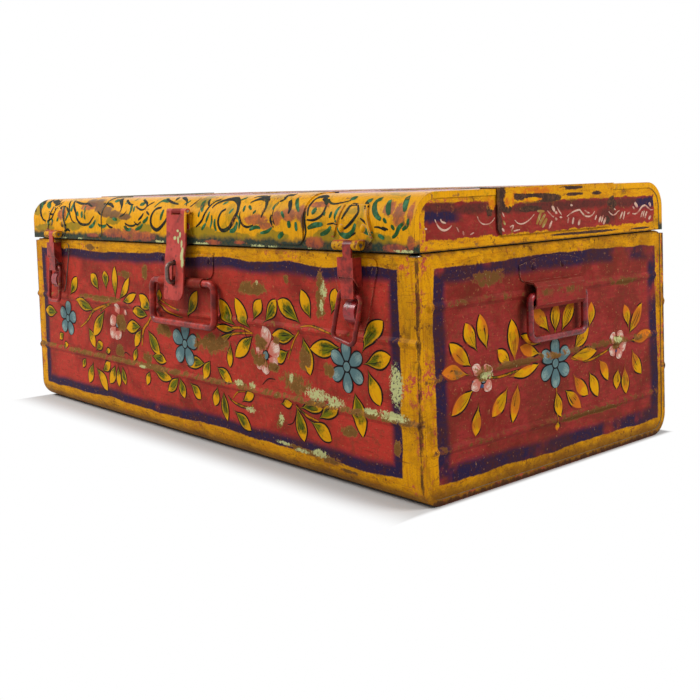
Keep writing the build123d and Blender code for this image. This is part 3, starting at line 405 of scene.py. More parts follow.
def make_panel_paint():
    """Ground, dark band and yellow border, with the brush's unevenness and dirt in each; the border
    darkens towards the bottom, has rust and painted contact shadow at its lowest edge, and has
    painted shade under the lid.
    """
    masks = {"Border": "Float", "Band": "Float", "Upright": "Float"}
    tree, entry, result = new_group(
        "panel_paint", {"Place": "Vector", **masks, "Ground": "Color"}, {"Color": "Color"}
    )
    place = entry["Place"]
    streak = use(tree, brushed, {"Place": place, "Upright": entry["Upright"]})["Streak"]
    cloud = noise(tree, place, 0.018, 5.0, 0.62, 0.5)
    dusty = noise(tree, place, 0.22, 5.0, 0.72)
    grain = noise(tree, place, 0.7, 3.0, 0.7)
    lighter = ease(tree, streak, 0.42, 0.7, 0.38)
    ground = tint(tree, lighter, entry["Ground"], PINK_RED)
    darker = ease(tree, cloud, 0.46, 0.66, 0.85)
    ground = tint(tree, darker, ground, DEEP_RED)
    browned = ease(tree, dusty, 0.48, 0.66, 0.6)
    ground = tint(tree, browned, ground, rgb(126, 66, 42))
    blue = tint(tree, ease(tree, dusty, 0.45, 0.65), BAND_BLUE, rgb(62, 30, 42))
    smear = noise(tree, place, 0.04, 4.0, 0.6, 0.2)
    z = apart(tree, place)[2]
    streaked = ease(tree, streak, 0.42, 0.66, 0.7)
    yellow = tint(tree, streaked, YELLOW, DEEP_YELLOW)
    olive = times(tree, ease(tree, smear, 0.52, 0.7), ease(tree, streak, 0.36, 0.56))
    yellow = tint(tree, times(tree, olive, 0.8), yellow, rgb(146, 104, 18))
    # the border darker towards the bottom
    low_darkening = plus(tree, times(tree, dusty, 0.9), ease(tree, z, *LOW_DARKENING))
    yellow = tint(tree, ease(tree, low_darkening, 0.62, 1.3, 0.8), yellow, rgb(128, 84, 24))
    speck = times(tree, ease(tree, dusty, 0.56, 0.64), ease(tree, smear, 0.42, 0.6))
    yellow = tint(tree, speck, yellow, rgb(104, 58, 26))
    near_corner = scaled(tree, entry["Upright"], 0.09, cloud)
    blush = times(tree, ease(tree, near_corner, 0.58, 0.66), ease(tree, dusty, 0.5, 0.58))
    yellow = tint(tree, blush, yellow, rgb(190, 82, 62))
    # painted shade on the top of the border, just under the lid's edge
    shaded = plus(tree, ease(tree, z, *LID_SHADE), centred(tree, dusty, 1.4))
    painted_shade_under_lid = times(tree, ease(tree, shaded, 0.4, 1.1), ease(tree, z, *OUT_OF_SIGHT))
    yellow = tint(tree, times(tree, painted_shade_under_lid, 0.7), yellow, rgb(110, 72, 18))
    # dark rust along the border's lowest edge, with painted contact shadow there
    hem = plus(tree, ease(tree, z, *HEM), centred(tree, dusty, 1.6))
    yellow = tint(tree, ease(tree, hem, 0.3, 0.7, 0.85), yellow, rgb(72, 46, 26))
    colour = tint(tree, entry["Band"], ground, blue)
    colour = tint(tree, entry["Border"], colour, yellow)
    dark_grain = ease(tree, grain, 0.52, 0.72, 0.5)
    colour = tint(tree, dark_grain, colour, rgb(84, 40, 26))
    feed(tree, result, {"Color": colour})
    return tree


panel_paint = make_panel_paint()


def worn_colour(tree, colour, wear, bare=OLIVE_PRIMER):
    """The colour browned round each worn place, then bare primer, pale flakes and grime."""
    browned = ease(tree, wear["Primer"], 0.0, 0.5, 0.7)
    colour = tint(tree, browned, colour, rgb(136, 74, 44))
    primer_mix = tint(tree, ease(tree, wear["Relief"], -0.95, -0.5), rgb(108, 72, 34), bare)
    colour = tint(tree, ease(tree, wear["Primer"], 0.4, 0.95), colour, primer_mix)
    colour = tint(tree, wear["Flake"], colour, PALE_PRIMER)
    soil = times(tree, wear["Grime"], 0.35)
    return tint(tree, soil, colour, GRIME)


def outside_mask(tree, centre_height):
    """1 on the faces that look away from this point above the ground, 0 on the inner ones."""
    normal = add(
        tree,
        "VectorTransform",
        {0: add(tree, "NewGeometry").outputs["True Normal"]},
        vector_type="NORMAL",
        convert_from="WORLD",
        convert_to="OBJECT",
    ).outputs[0]
    place = add(tree, "TexCoord").outputs["Object"]
    shift = vector_calc(tree, "SUBTRACT", place, (0, 0, centre_height))
    return calc(tree, "GREATER_THAN", vector_calc(tree, "DOT_PRODUCT", shift, normal), -0.04)


def inner_colour(tree, place):
    """Old grey-green inside paint, rusted in patches."""
    cloud = noise(tree, place, 0.015, 6.0, 0.65)
    speck = noise(tree, place, 0.2, 4.0, 0.7)
    colour = tint(tree, ease(tree, cloud, 0.4, 0.7), INNER_PAINT, rgb(134, 136, 120))
    rusted = times(tree, ease(tree, speck, 0.52, 0.66), ease(tree, cloud, 0.38, 0.6))
    return tint(tree, rusted, colour, RUST)


# where the seams' rust starts and where it is full: from the middle along x and y, and up
SEAM_X, SEAM_Y, SEAM_Z = (376.5, 379.0), (185.0, 192.0), (9.0, 3.0)


def seam_rust(tree, place, colour):
    """Dark rust in the folded seams: along the upright corners and the ends' rounded edge."""
    x, y, z = apart(tree, place)
    along_x = ease(tree, absolute(tree, x), *SEAM_X)
    along_y = ease(tree, absolute(tree, y), *SEAM_Y)
    corner = times(tree, along_x, highest(tree, along_y, ease(tree, z, *SEAM_Z)))
    spread = noise(tree, stretched(tree, place, (1.0, 1.0, 0.4)), 0.14, 6.0, 0.74)
    level = plus(tree, corner, centred(tree, spread, 2.2))
    return tint(tree, ease(tree, level, 0.7, 1.05, 0.85), colour, SEAM_DARK)


BODY_MIDDLE, LID_MIDDLE = 0.12, 0.2  # metres above the ground


def make_body_paint(name, frame_group, wear_group, ground, bare, edge_wear_and_light, edge_radius, stain=0.26):
    """Outside: framed paint and wear. Inside: old inner paint. Underneath: dirty red."""
    material, tree, shader = new_material(name)
    place = in_millimetres(tree)
    bands = use(tree, frame_group, {"Place": place})
    panel = {socket: bands[socket] for socket in ("Border", "Band", "Upright")}
    panel.update({"Place": place, "Ground": ground})
    colour = use(tree, panel_paint, panel)["Color"]
    grimy = ease(tree, noise(tree, place, 0.022, 6.0, 0.66, 0.5), 0.44, 0.62)
    colour = tint(tree, times(tree, grimy, stain), colour, rgb(78, 38, 18))
    scuffs = noise(tree, stretched(tree, place, (0.05, 0.05, 0.5)), 1.0, 5.0, 0.72)
    scuffs = ease(tree, scuffs, 0.58, 0.66, 0.5)
    colour = tint(tree, scuffs, colour, rgb(84, 40, 24))
    flecks = ease(tree, noise(tree, place, 0.3, 4.0, 0.7), 0.62, 0.68, 0.6)
    colour = tint(tree, flecks, colour, rgb(176, 124, 78))
    wear = use(tree, wear_group, {"Place": place})
    colour = worn_colour(tree, colour, wear, bare)
    # the edges in the given colour: rust on the sheets; pale on the fittings, a painted highlight
    # as well as wear
    edge_wear_and_light_mask = edges_for_wear_and_light(tree, place, edge_radius)
    colour = tint(tree, times(tree, edge_wear_and_light_mask, 0.85), colour, edge_wear_and_light)
    z = apart(tree, place)[2]
    colour = tint(tree, ease(tree, z, *UNDERSIDE), colour, DEEP_RED)
    colour = tint(tree, outside_mask(tree, BODY_MIDDLE), inner_colour(tree, place), colour)
    colour = seam_rust(tree, place, colour)
    rough = scaled(tree, wear["Primer"], 0.22, 0.52)
    coat(tree, shader, colour, rough, 0.05, wear["Relief"], 0.25, 0.6)
    return material


END_RED = rgb(146, 46, 44)
END_PRIMER = rgb(118, 76, 44)
# pale edges of the fittings: wear, and a painted highlight
PALE_WEAR_AND_HIGHLIGHT = rgb(176, 138, 112)
body_paint = make_body_paint("body_paint", front_frame, wall_wear, RED, OLIVE_PRIMER, RUST, 1.2)
end_paint = make_body_paint(
    "end_paint", end_frame, end_wall_wear, END_RED, END_PRIMER, RUST, 1.2, 0.4
)
wall_fitting_paint = make_body_paint(
    "wall_fitting_paint", front_frame, wall_wear, RED, OLIVE_PRIMER, PALE_WEAR_AND_HIGHLIGHT, 0.8
)
end_fitting_paint = make_body_paint(
    "end_fitting_paint", end_frame, end_wall_wear, END_RED, END_PRIMER, PALE_WEAR_AND_HIGHLIGHT, 0.9, 0.25
)

# on the lid: where its lower edge flakes, in height, how far along the front and back it does,
# and where it gets glossier towards the top
LID_LOWER_EDGE = (231.5, 228.0)
LID_FRONT_CORNER = (379.5, 378.0)
LID_GLOSS = (282.0, 274.0)


def make_lid_wear():
    """Light wear all over, and pale flakes along the lower edge of the front and back."""
    tree, entry, result = new_group("lid_wear", {"Place": "Vector"}, WEAR)
    x, _, z = apart(tree, entry["Place"])
    patchy = noise(tree, entry["Place"], 0.02, 2.0, 0.5)
    on_front = ease(tree, absolute(tree, x), *LID_FRONT_CORNER)
    lower_edge = times(tree, ease(tree, z, *LID_LOWER_EDGE), on_front)
    pale = times(tree, lower_edge, ease(tree, patchy, 0.5, 0.6))
    worn = use(tree, flaking, {"Place": entry["Place"], "Wear": 0.2, "Pale": pale})
    feed(tree, result, {label: worn[label] for label in WEAR})
    return tree


lid_wear = make_lid_wear()


def finish_lid(material, tree, shader, place, colour, edge_wear_and_light, edge_radius):
    """Wear, edges in the given colour (painted shade on the lid's plates), the lid's inside and its
    gloss, the same on all of its sheet.
    """
    wear = use(tree, lid_wear, {"Place": place})
    colour = worn_colour(tree, colour, wear)
    edge_wear_and_light_mask = edges_for_wear_and_light(tree, place, edge_radius)
    # the edges in the given colour: rust on the lid's sheet, painted shade on its plates, pale and
    # brown wear on the knuckles
    colour = tint(tree, times(tree, edge_wear_and_light_mask, 0.9), colour, edge_wear_and_light)
    colour = tint(tree, outside_mask(tree, LID_MIDDLE), inner_colour(tree, place), colour)
    rough = scaled(tree, wear["Primer"], 0.2, 0.5)
    rough = times(tree, rough, ease(tree, apart(tree, place)[2], *LID_GLOSS))
    rough = highest(tree, rough, 0.26)
    coat(tree, shader, colour, rough, 0.07, wear["Relief"], 0.25, 0.6)
    return material


# soft ovals on the lid's front, as (x, z, half width, half height)
LID_SMEARS = [
    (-228, 276, 14, 4), (-205, 274, 18, 5), (-188, 268, 14, 6), (-170, 263, 16, 7),
    (-150, 260, 16, 5), (-124, 257, 16, 4), (229, 254, 3, 9), (318, 233, 10, 5),
]
LID_BLUSHES = [
    (-222, 270, 24, 5), (-150, 237, 30, 6), (-108, 236, 28, 8), (-72, 234, 22, 6),
    (-205, 233, 16, 3), (-330, 236, 18, 4), (-292, 260, 12, 8), (70, 230, 16, 3),
    (120, 231, 10, 2), (150, 255, 22, 6), (166, 249, 14, 4), (187, 257, 8, 8), (206, 260, 14, 7),
    (224, 262, 8, 8), (245, 234, 14, 6), (247, 270, 16, 3), (347, 266, 8, 7), (361, 260, 8, 12),
    (376, 236, 5, 7), (375, 262, 4, 10), (356, 231, 16, 4),
]
LID_OLIVES = [
    (-150, 252, 16, 5), (-345, 241, 30, 5), (-260, 244, 24, 5), (-75, 244, 20, 6),
    (50, 241, 26, 6), (100, 238, 40, 4), (180, 239, 26, 5), (262, 240, 18, 6), (335, 237, 18, 7),
    (-372, 268, 12, 9), (40, 274, 12, 6),
]
# and on its ends, as (place along the end, z, half width, half height)
LID_END_DARKS = [
    (-79, 272, 5, 11), (-74, 262, 8, 5), (-40, 272, 30, 4), (-12, 269, 22, 4),
    (-40, 259.5, 18, 3), (30, 271.5, 14, 1.6), (24, 278, 20, 1.8), (68, 271.5, 7, 2),
    (96, 260, 9, 7), (86, 243, 4, 4), (62, 231.8, 42, 1.4), (20, 232.2, 26, 1.2),
    (-96, 259.5, 4, 5), (150, 231, 16, 1.2),
]
LID_END_BROWNS = [
    (5, 261, 110, 5), (-163, 266, 22, 4), (-118, 263, 26, 5), (120, 260, 22, 5), (86, 248, 16, 8),
]
LID_END_YELLOWS = [
    (-70, 269.5, 6.5, 6.5), (-28, 277, 36, 2.8), (-36, 268.5, 12, 1.8), (-92, 269, 5, 7),
]
lid_smears = make_spots("lid_smears", LID_SMEARS)
lid_blushes = make_spots("lid_blushes", LID_BLUSHES)
lid_olives = make_spots("lid_olives", LID_OLIVES)
lid_end_darks = make_spots("lid_end_darks", LID_END_DARKS)
lid_end_browns = make_spots("lid_end_browns", LID_END_BROWNS)
lid_end_yellows = make_spots("lid_end_yellows", LID_END_YELLOWS)


def patch(tree, spots, place, breaks, low=0.3, high=0.6):
    """Mask of a field of ovals, its edge broken up by noise."""
    field = use(tree, spots, {"Place": place})["Field"]
    level = plus(tree, field, centred(tree, breaks, 1.6))
    return times(tree, ease(tree, level, low, high), ease(tree, field, 0.0, 0.3))


# the heights between which the lid's dark green band starts, and its top
GREEN_BAND = (239.0, 233.0)
LID_TOP = (278.6, 279.4)
# half the length and half the depth of the field on the lid's top, and how far it lies forward
FIELD_X, FIELD_Y, FIELD_FORWARD = 350.0, 150.0, 2.0


def make_lid_paint(name, edge_wear_and_light, edge_radius):
    """Yellow front and edges over a dark green lower band; red top with a yellow border."""
    material, tree, shader = new_material(name)
    place = in_millimetres(tree)
    x, y, z = apart(tree, place)
    streak = use(tree, brushed, {"Place": place, "Upright": 1.0})["Streak"]
    smear = noise(tree, place, 0.036, 6.0, 0.66, 0.8)
    blush = noise(tree, place, 0.024, 5.0, 0.62, 0.4)
    rag = noise(tree, place, 0.09, 5.0, 0.65)
    speck = noise(tree, place, 0.3, 6.0, 0.8, 0.3)
    streaked = ease(tree, streak, 0.42, 0.7, 0.7)
    yellow = tint(tree, streaked, rgb(232, 162, 6), rgb(192, 132, 8))
    greenish = ease(tree, smear, 0.46, 0.34, 0.6)
    yellow = tint(tree, greenish, yellow, rgb(138, 122, 20))
    olive = times(tree, patch(tree, lid_olives, place, rag), 0.75)
    yellow = tint(tree, olive, yellow, rgb(122, 112, 24))
    yellow = tint(tree, ease(tree, speck, 0.6, 0.68), yellow, rgb(126, 74, 26))
    ragged = centred(tree, rag, 12.0)
    green = ease(tree, plus(tree, z, ragged), *GREEN_BAND)
    dark = tint(tree, ease(tree, speck, 0.45, 0.6), rgb(38, 54, 48), rgb(74, 70, 40))
    colour = tint(tree, green, yellow, dark)
    broken = noise(tree, place, 0.11, 6.0, 0.78, 0.4)
    pink = tint(tree, ease(tree, broken, 0.4, 0.6), rgb(186, 92, 52), rgb(122, 62, 58))
    blushed = times(tree, patch(tree, lid_blushes, place, speck, 0.35, 0.75), 0.85)
    colour = tint(tree, blushed, colour, pink)
    smeared = tint(tree, ease(tree, speck, 0.45, 0.65), rgb(74, 54, 50), rgb(112, 74, 52))
    smeared_on = times(tree, patch(tree, lid_smears, place, broken, 0.3, 0.7), 0.85)
    colour = tint(tree, smeared_on, colour, smeared)
    # the top: a red field, a dark band and a yellow border
    beside = minus(tree, absolute(tree, x), FIELD_X)
    beyond = minus(tree, absolute(tree, plus(tree, y, FIELD_FORWARD)), FIELD_Y)
    from_edge = plus(tree, highest(tree, beside, beyond), times(tree, ragged, 0.5))
    field = tint(tree, ease(tree, streak, 0.4, 0.7), RED, DEEP_RED)
    worn_red = ease(tree, blush, 0.5, 0.6, 0.7)
    field = tint(tree, worn_red, field, rgb(132, 66, 44))
    field = tint(tree, ease(tree, from_edge, -14.0, -9.0), field, BAND_BLUE)
    field = tint(tree, ease(tree, from_edge, -1.0, 1.0), field, yellow)
    colour = tint(tree, ease(tree, z, *LID_TOP), colour, field)
    return finish_lid(material, tree, shader, place, colour, edge_wear_and_light, edge_radius)


# the red panel of the lid's ends: half its length, how far its middle lies to the left, its
# lower and upper edge, and how much higher the upper edge is beyond the place HIGHER_FROM
PANEL_HALF, PANEL_LEFT, PANEL_LOW, PANEL_HIGH = 178.0, 3.0, 237.0, 265.5
HIGHER_BY, HIGHER_FROM = 4.0, (-60.0, -110.0)
# where the dark band shows at the panel's two ends, along it and up
DARK_END, DARK_LOW, DARK_HIGH = (128.0, 146.0), (250.0, 255.0), (266.0, 262.0)
# where a mending plate's edge darkens, along the end
PLATE_EDGE = (-80.0, -83.0)


def make_lid_end_paint(name, edge_wear_and_light, edge_radius, strip):
    """Yellow border round a long red panel, browned above; strip is how dark a plate's edge is."""
    material, tree, shader = new_material(name)
    place = in_millimetres(tree)
    x, y, z = apart(tree, place)
    along, _ = along_wall(tree, x, y, True)
    flat = joined(tree, along, 0.0, z)
    rag = noise(tree, place, 0.1, 4.0, 0.6)
    speck = noise(tree, place, 0.25, 4.0, 0.7, 0.6)
    shift = centred(tree, rag, 9.0)
    beside = minus(tree, absolute(tree, plus(tree, along, PANEL_LEFT)), PANEL_HALF)
    top = scaled(tree, ease(tree, along, *HIGHER_FROM), HIGHER_BY, PANEL_HIGH)
    out = highest(tree, beside, minus(tree, PANEL_LOW, z), minus(tree, z, top))
    border = ease(tree, plus(tree, out, shift), -0.6, 0.6)
    dark_end = ease(tree, absolute(tree, along), *DARK_END)
    height = plus(tree, z, shift)
    band = times(tree, dark_end, ease(tree, height, *DARK_LOW))
    band = times(tree, band, ease(tree, height, *DARK_HIGH))
    panel = {"Border": border, "Band": band, "Upright": 0.0, "Ground": rgb(142, 42, 38)}
    colour = use(tree, panel_paint, {"Place": place, **panel})["Color"]
    brown = tint(tree, ease(tree, speck, 0.42, 0.62), rgb(96, 42, 36), rgb(70, 38, 32))
    browned = times(tree, patch(tree, lid_end_browns, flat, rag, 0.05, 0.9), 0.9)
    colour = tint(tree, browned, colour, brown)
    dark = tint(tree, ease(tree, speck, 0.45, 0.65), rgb(58, 38, 30), rgb(96, 62, 44))
    colour = tint(tree, patch(tree, lid_end_darks, flat, speck), colour, dark)
    warm = tint(tree, ease(tree, rag, 0.4, 0.6), YELLOW, rgb(206, 112, 20))
    colour = tint(tree, patch(tree, lid_end_yellows, flat, speck, 0.25, 0.5), colour, warm)
    edge = ease(tree, plus(tree, along, shift), *PLATE_EDGE, strip)
    colour = tint(tree, edge, colour, dark)
    return finish_lid(material, tree, shader, place, colour, edge_wear_and_light, edge_radius)


lid_paint = make_lid_paint("lid_paint", RUST, 1.2)
# on the lid's plates the dark edge colour is painted shade along their raised edges
lid_plate_paint = make_lid_paint("lid_plate_paint", rgb(66, 42, 30), 1.6)
lid_end_paint = make_lid_end_paint("lid_end_paint", RUST, 1.2, 0.0)
lid_end_plate_paint = make_lid_end_paint("lid_end_plate_paint", rgb(58, 40, 32), 2.0, 0.9)

# where a fitting stands out from the lid's front, in y, and where its tops start, in height
PROUD_OF_LID, FITTING_TOPS = (-195.8, -197.0), (239.0, 241.0)


def make_knuckle_paint(name, edge_wear_and_light, knuckle, chipped, tops, below):
    """The lid's paint on a fitting, with another colour where it stands proud, below a height."""
    material = make_lid_paint(name, edge_wear_and_light, 1.2)
    tree, shader, colour = reopened(material)
    place = in_millimetres(tree)
    _, y, z = apart(tree, place)
    speck = noise(tree, place, 0.2, 4.0, 0.7, 0.6)
    painted = tint(tree, ease(tree, speck, 0.5, 0.62), knuckle, chipped)
    topped = ease(tree, scaled(tree, speck, 6.0, z), *FITTING_TOPS)
    painted = tint(tree, topped, painted, tops)
    proud = ease(tree, y, *PROUD_OF_LID)
    mask = times(tree, proud, ease(tree, z, below, below - 1.5))
    feed(tree, shader, {"Base Color": tint(tree, mask, colour, painted)})
    return material


CHIPPED_BROWN = rgb(110, 58, 34)
lid_latch_paint = make_knuckle_paint(
    "lid_latch_paint", rgb(176, 152, 140), rgb(206, 146, 16), CHIPPED_BROWN, rgb(172, 58, 54), 241.5
)
hasp_leaf_paint = make_knuckle_paint(
    "hasp_leaf_paint", rgb(104, 66, 34), RED, CHIPPED_BROWN, rgb(132, 38, 32), 290.0
)


def make_fitting_paint(
    name, ground, shade, worn, wear_level, roughness=0.42, edge_radius=0.9, gloss=0.16
):
    """Painted steel fitting: uneven paint, edges in the worn colour (on dark_fitting_red also a
    painted highlight), chips and grime.
    """
    material, tree, shader = new_material(name)
    place = in_millimetres(tree)
    cloud = noise(tree, place, 0.05, 6.0, 0.68)
    colour = tint(tree, ease(tree, cloud, 0.4, 0.6), ground, shade)
    dirt = ease(tree, noise(tree, place, 0.16, 5.0, 0.7), 0.5, 0.66)
    colour = tint(tree, times(tree, dirt, 0.6), colour, rgb(66, 30, 24))
    wear = use(tree, flaking, {"Place": place, "Wear": wear_level, "Pale": 0.0})
    colour = worn_colour(tree, colour, wear)
    colour = tint(tree, edges_for_wear_and_light(tree, place, edge_radius), colour, worn)
    coat(tree, shader, colour, roughness, gloss, wear["Relief"], 0.2, 0.5)
    return material


def make_steel(name, bright, dull, roughness):
    """Bare or tarnished steel with rust in patches."""
    material, tree, shader = new_material(name)
    place = in_millimetres(tree)
    cloud = noise(tree, place, 0.12, 6.0, 0.65)
    scratches = noise(tree, stretched(tree, place, (0.1, 0.1, 1.4)), 1.0, 3.0, 0.6)
    colour = tint(tree, ease(tree, scratches, 0.4, 0.7), bright, dull)
    rusted = ease(tree, cloud, 0.5, 0.64)
    rough = scaled(tree, rusted, 0.35, roughness)
    coat(tree, shader, tint(tree, rusted, colour, RUST), rough, 0.5, cloud, 0.2, 0.5)
    feed(tree, shader, {"Metallic": scaled(tree, rusted, -0.85, 0.9)})
    return material


fitting_red = make_fitting_paint(
    "fitting_red", RED, rgb(118, 32, 28), rgb(188, 92, 74), 0.18, 0.34, 0.9, 0.2
)
ring_red = make_fitting_paint(
    "ring_red", rgb(166, 44, 36), rgb(110, 30, 26), rgb(178, 92, 72), 0.22, 0.34, 1.3, 0.2
)
# its pale worn colour on the edges is a painted highlight as well as wear
dark_fitting_red = make_fitting_paint(
    "dark_fitting_red", rgb(160, 40, 44), rgb(84, 24, 28), rgb(188, 110, 98), 0.2, 0.26, 1.0, 0.34
)
# pale chips on the hasp's strap, as (x, z, half width, half height)
HASP_CHIPS = [
    (6, 234, 4, 2.5), (13, 232, 2.5, 5), (17, 238, 2.5, 4), (12, 242, 3, 1.8), (20, 228, 2.5, 5),
    (23, 216, 3.5, 9), (25, 207, 3.5, 7),
]
HASP_YELLOWS = [(27, 252, 1.8, 12)]
hasp_chips = make_spots("hasp_chips", HASP_CHIPS)
hasp_yellows = make_spots("hasp_yellows", HASP_YELLOWS)
# the strap's front face, in y
STRAP_FRONT = (-200.0, -200.8)


def make_hasp_paint():
    """Brighter red, chipped to pale primer along one edge, with the border's yellow on it."""
    material = make_fitting_paint(
        "hasp_paint", rgb(190, 66, 56), rgb(170, 54, 46), rgb(120, 60, 46), 0.14, 0.42, 0.9
    )
    tree, shader, colour = reopened(material)
    place = in_millimetres(tree)
    speck = noise(tree, stretched(tree, place, (1.4, 1.0, 0.6)), 0.4, 6.0, 0.8)
    front = ease(tree, apart(tree, place)[1], *STRAP_FRONT)
    chips = times(tree, patch(tree, hasp_chips, place, speck, 0.6, 0.8), front)
    colour = tint(tree, chips, colour, PALE_PRIMER)
    colour = tint(tree, patch(tree, hasp_yellows, place, speck), colour, YELLOW)
    feed(tree, shader, {"Base Color": colour})
    return material


hasp_paint = make_hasp_paint()
hinge_finish = make_fitting_paint("hinge_finish", rgb(140, 44, 40), RUST, BARE_STEEL, 0.3, 0.55)
primer_finish = make_fitting_paint(
    "primer_finish", INNER_PAINT, rgb(92, 92, 84), RUST, 0.15, 0.6
)
worn_steel = make_steel("worn_steel", rgb(120, 100, 92), DARK_STEEL, 0.38)
bare_steel = make_steel("bare_steel", BARE_STEEL, DARK_STEEL, 0.34)
rivet_paint = make_fitting_paint("rivet_paint", RED, DEEP_RED, BARE_STEEL, 0.2)

# pieces that come as a left and a right one go by the name that they share
FINISHES = {
    "body_wrap": body_paint,
    "body_end": end_paint,
    "lid_wrap": lid_paint,
    "lid_end": lid_end_paint,
    "lid_end_plate": lid_end_plate_paint,
    "lid_front_plate": lid_plate_paint,
    "lid_latch_plate": lid_latch_paint,
    "lid_latch_rivets": lid_latch_paint,
    "latch_base": wall_fitting_paint,
    "latch_base_rivets": wall_fitting_paint,
    "front_handle_plate": wall_fitting_paint,
    "front_handle_rivets": wall_fitting_paint,
    "end_handle_plate": end_fitting_paint,
    "end_handle_rivets": end_fitting_paint,
    "end_handle_bail": dark_fitting_red,
    "latch_arch": dark_fitting_red,
    "latch_ring": ring_red,
    "hasp_leaf": hasp_leaf_paint,
    "hasp_strap": hasp_paint,
    "hasp_staple": worn_steel,
    "rim_wire": bare_steel,
}
KIND_FINISHES = (
    ("dust_lip", primer_finish),
    ("hinge", hinge_finish),
    ("rivets", rivet_paint),
    ("pin", bare_steel),
)


def finish_of(node):
    """The finish of a CAD node: its own, that of its kind, or fitting red."""
    piece = node.removesuffix("_left").removesuffix("_right")
    if piece in FINISHES:
        return FINISHES[piece]
    for word, finish in KIND_FINISHES:
        if word in node:
            return finish
    return fitting_red


for node, obj in nodes.items():
    obj.data.materials.clear()
    obj.data.materials.append(finish_of(node))


# ---------------------------------------------------------------- brush work
def skin_of(names):
    """What the brush lands on: the outer faces of these CAD nodes."""
    points = []
    faces = []
    for name in names:
        start = len(points)
        mesh = nodes[name].data
        points += [tuple(v.co) for v in mesh.vertices]
        faces += [[start + i for i in polygon.vertices] for polygon in mesh.polygons]
    return BVHTree.FromPolygons(points, faces)


class Wall:
    """One face to paint: takes (u, v) in millimetres to a point on the part in metres."""

    def __init__(self, skin, outwards, distance, up=(0, 0, 1)):
        self.skin = skin
        self.outwards = Vector(outwards)
        self.up = Vector(up)
        self.across = self.up.cross(self.outwards)
        self.origin = self.outwards * distance

    def land(self, u, v, lift):
        """The point on the part, or None where the brush misses it; lift is in millimetres."""
        start = self.origin + (self.across * u + self.up * v) * MM
        hit = self.skin.ray_cast(start, -self.outwards)
        if hit[0] is None:
            return None
        return hit[0] + self.outwards * (lift * MM)


lid_skin = skin_of([name for name in nodes if name.startswith("lid_") and "rivets" not in name])
WALLS = {"lid_top": Wall(lid_skin, (0, 0, 1), 0.4, (0, 1, 0))}
# (side, the way it looks, how far from the middle the brush starts in metres, its sheets)
SIDES = (
    ("front", (0, -1, 0), 0.3, ["body_wrap"]),
    ("back", (0, 1, 0), 0.3, ["body_wrap"]),
    ("right", (1, 0, 0), 0.5, ["body_wrap", "body_end_right"]),
    ("left", (-1, 0, 0), 0.5, ["body_wrap", "body_end_left"]),
)
for side, outwards, distance, sheets in SIDES:
    WALLS[side] = Wall(skin_of(sheets), outwards, distance)
    WALLS[f"lid_{side}"] = Wall(lid_skin, outwards, distance)

# the inked rim of a leaf or petal: its share of the width in V, and its width on a leaf in mm
INK_RIM = 0.125
LEAF_RIM = 1.9
# how much a stroke rises in its middle, and how far apart a face's corners may land, in mm
DOME = 0.16
WIDEST_FACE = 8.0
# the steps that leaves, their lanes and lines are made in, in mm, and how thin a line's ends are
LEAF_STEP, LEAF_LANE, LINE_STEP = 1.3, 2.0, 1.8
TAPER = 0.35
DISC_SIDES = 16


class Paint:
    """Strokes of one colour on one wall, gathered into one mesh.

    Its UV map runs along each stroke in U and across it in V, and its tone differs by stroke.
    """

    def __init__(self, name, wall):
        self.name = name
        self.wall = WALLS[wall]
        self.points = []
        self.faces = []
        self.uvs = []
        self.tones = []

    def lay(self, rows, tone, lift):
        """rows of (u, v, along, across); a face is left out where a corner misses the part."""
        start = len(self.points)
        width = len(rows[0])
        missed = set()
        for row in rows:
            for u, v, along, across in row:
                dome = 1 - (2 * across - 1) ** 2
                point = self.wall.land(u, v, lift + DOME * dome)
                if point is None:
                    missed.add(len(self.points))
                    point = self.wall.origin
                self.points.append(point)
                self.uvs.append((along, across))
                self.tones.append(tone)
        for i in range(len(rows) - 1):
            for j in range(width - 1):
                a = start + i * width + j
                corners = (a, a + 1, a + width + 1, a + width)
                spread = [self.points[c] for c in corners]
                far = max((p - spread[0]).length for p in spread) > WIDEST_FACE * MM
                if not far and not missed.intersection(corners):
                    self.faces.append(corners)

    def finish(self, material, body, slot):
        """One piece of all the strokes, with only the points that they use."""
        used = sorted({c for face in self.faces for c in face})
        renumber = {old: new for new, old in enumerate(used)}
        mesh = bpy.data.meshes.new(self.name)
        faces = [[renumber[c] for c in face] for face in self.faces]
        mesh.from_pydata([self.points[i] for i in used], [], faces)
        layer = mesh.uv_layers.new(name="stroke")
        tones = mesh.attributes.new("tone", "FLOAT", "POINT")
        for index, old in enumerate(used):
            tones.data[index].value = self.tones[old]
        for loop in mesh.loops:
            layer.data[loop.index].uv = self.uvs[used[loop.vertex_index]]
        mesh.update()
        flip = [p for p in mesh.polygons if p.normal.dot(self.wall.outwards) < 0]
        if len(flip) > len(mesh.polygons) / 2:
            mesh.flip_normals()
        for polygon in mesh.polygons:
            polygon.use_smooth = True
        piece = bpy.data.objects.new(self.name, mesh)
        scene.collection.objects.link(piece)
        mesh.materials.append(material)
        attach(piece, body)


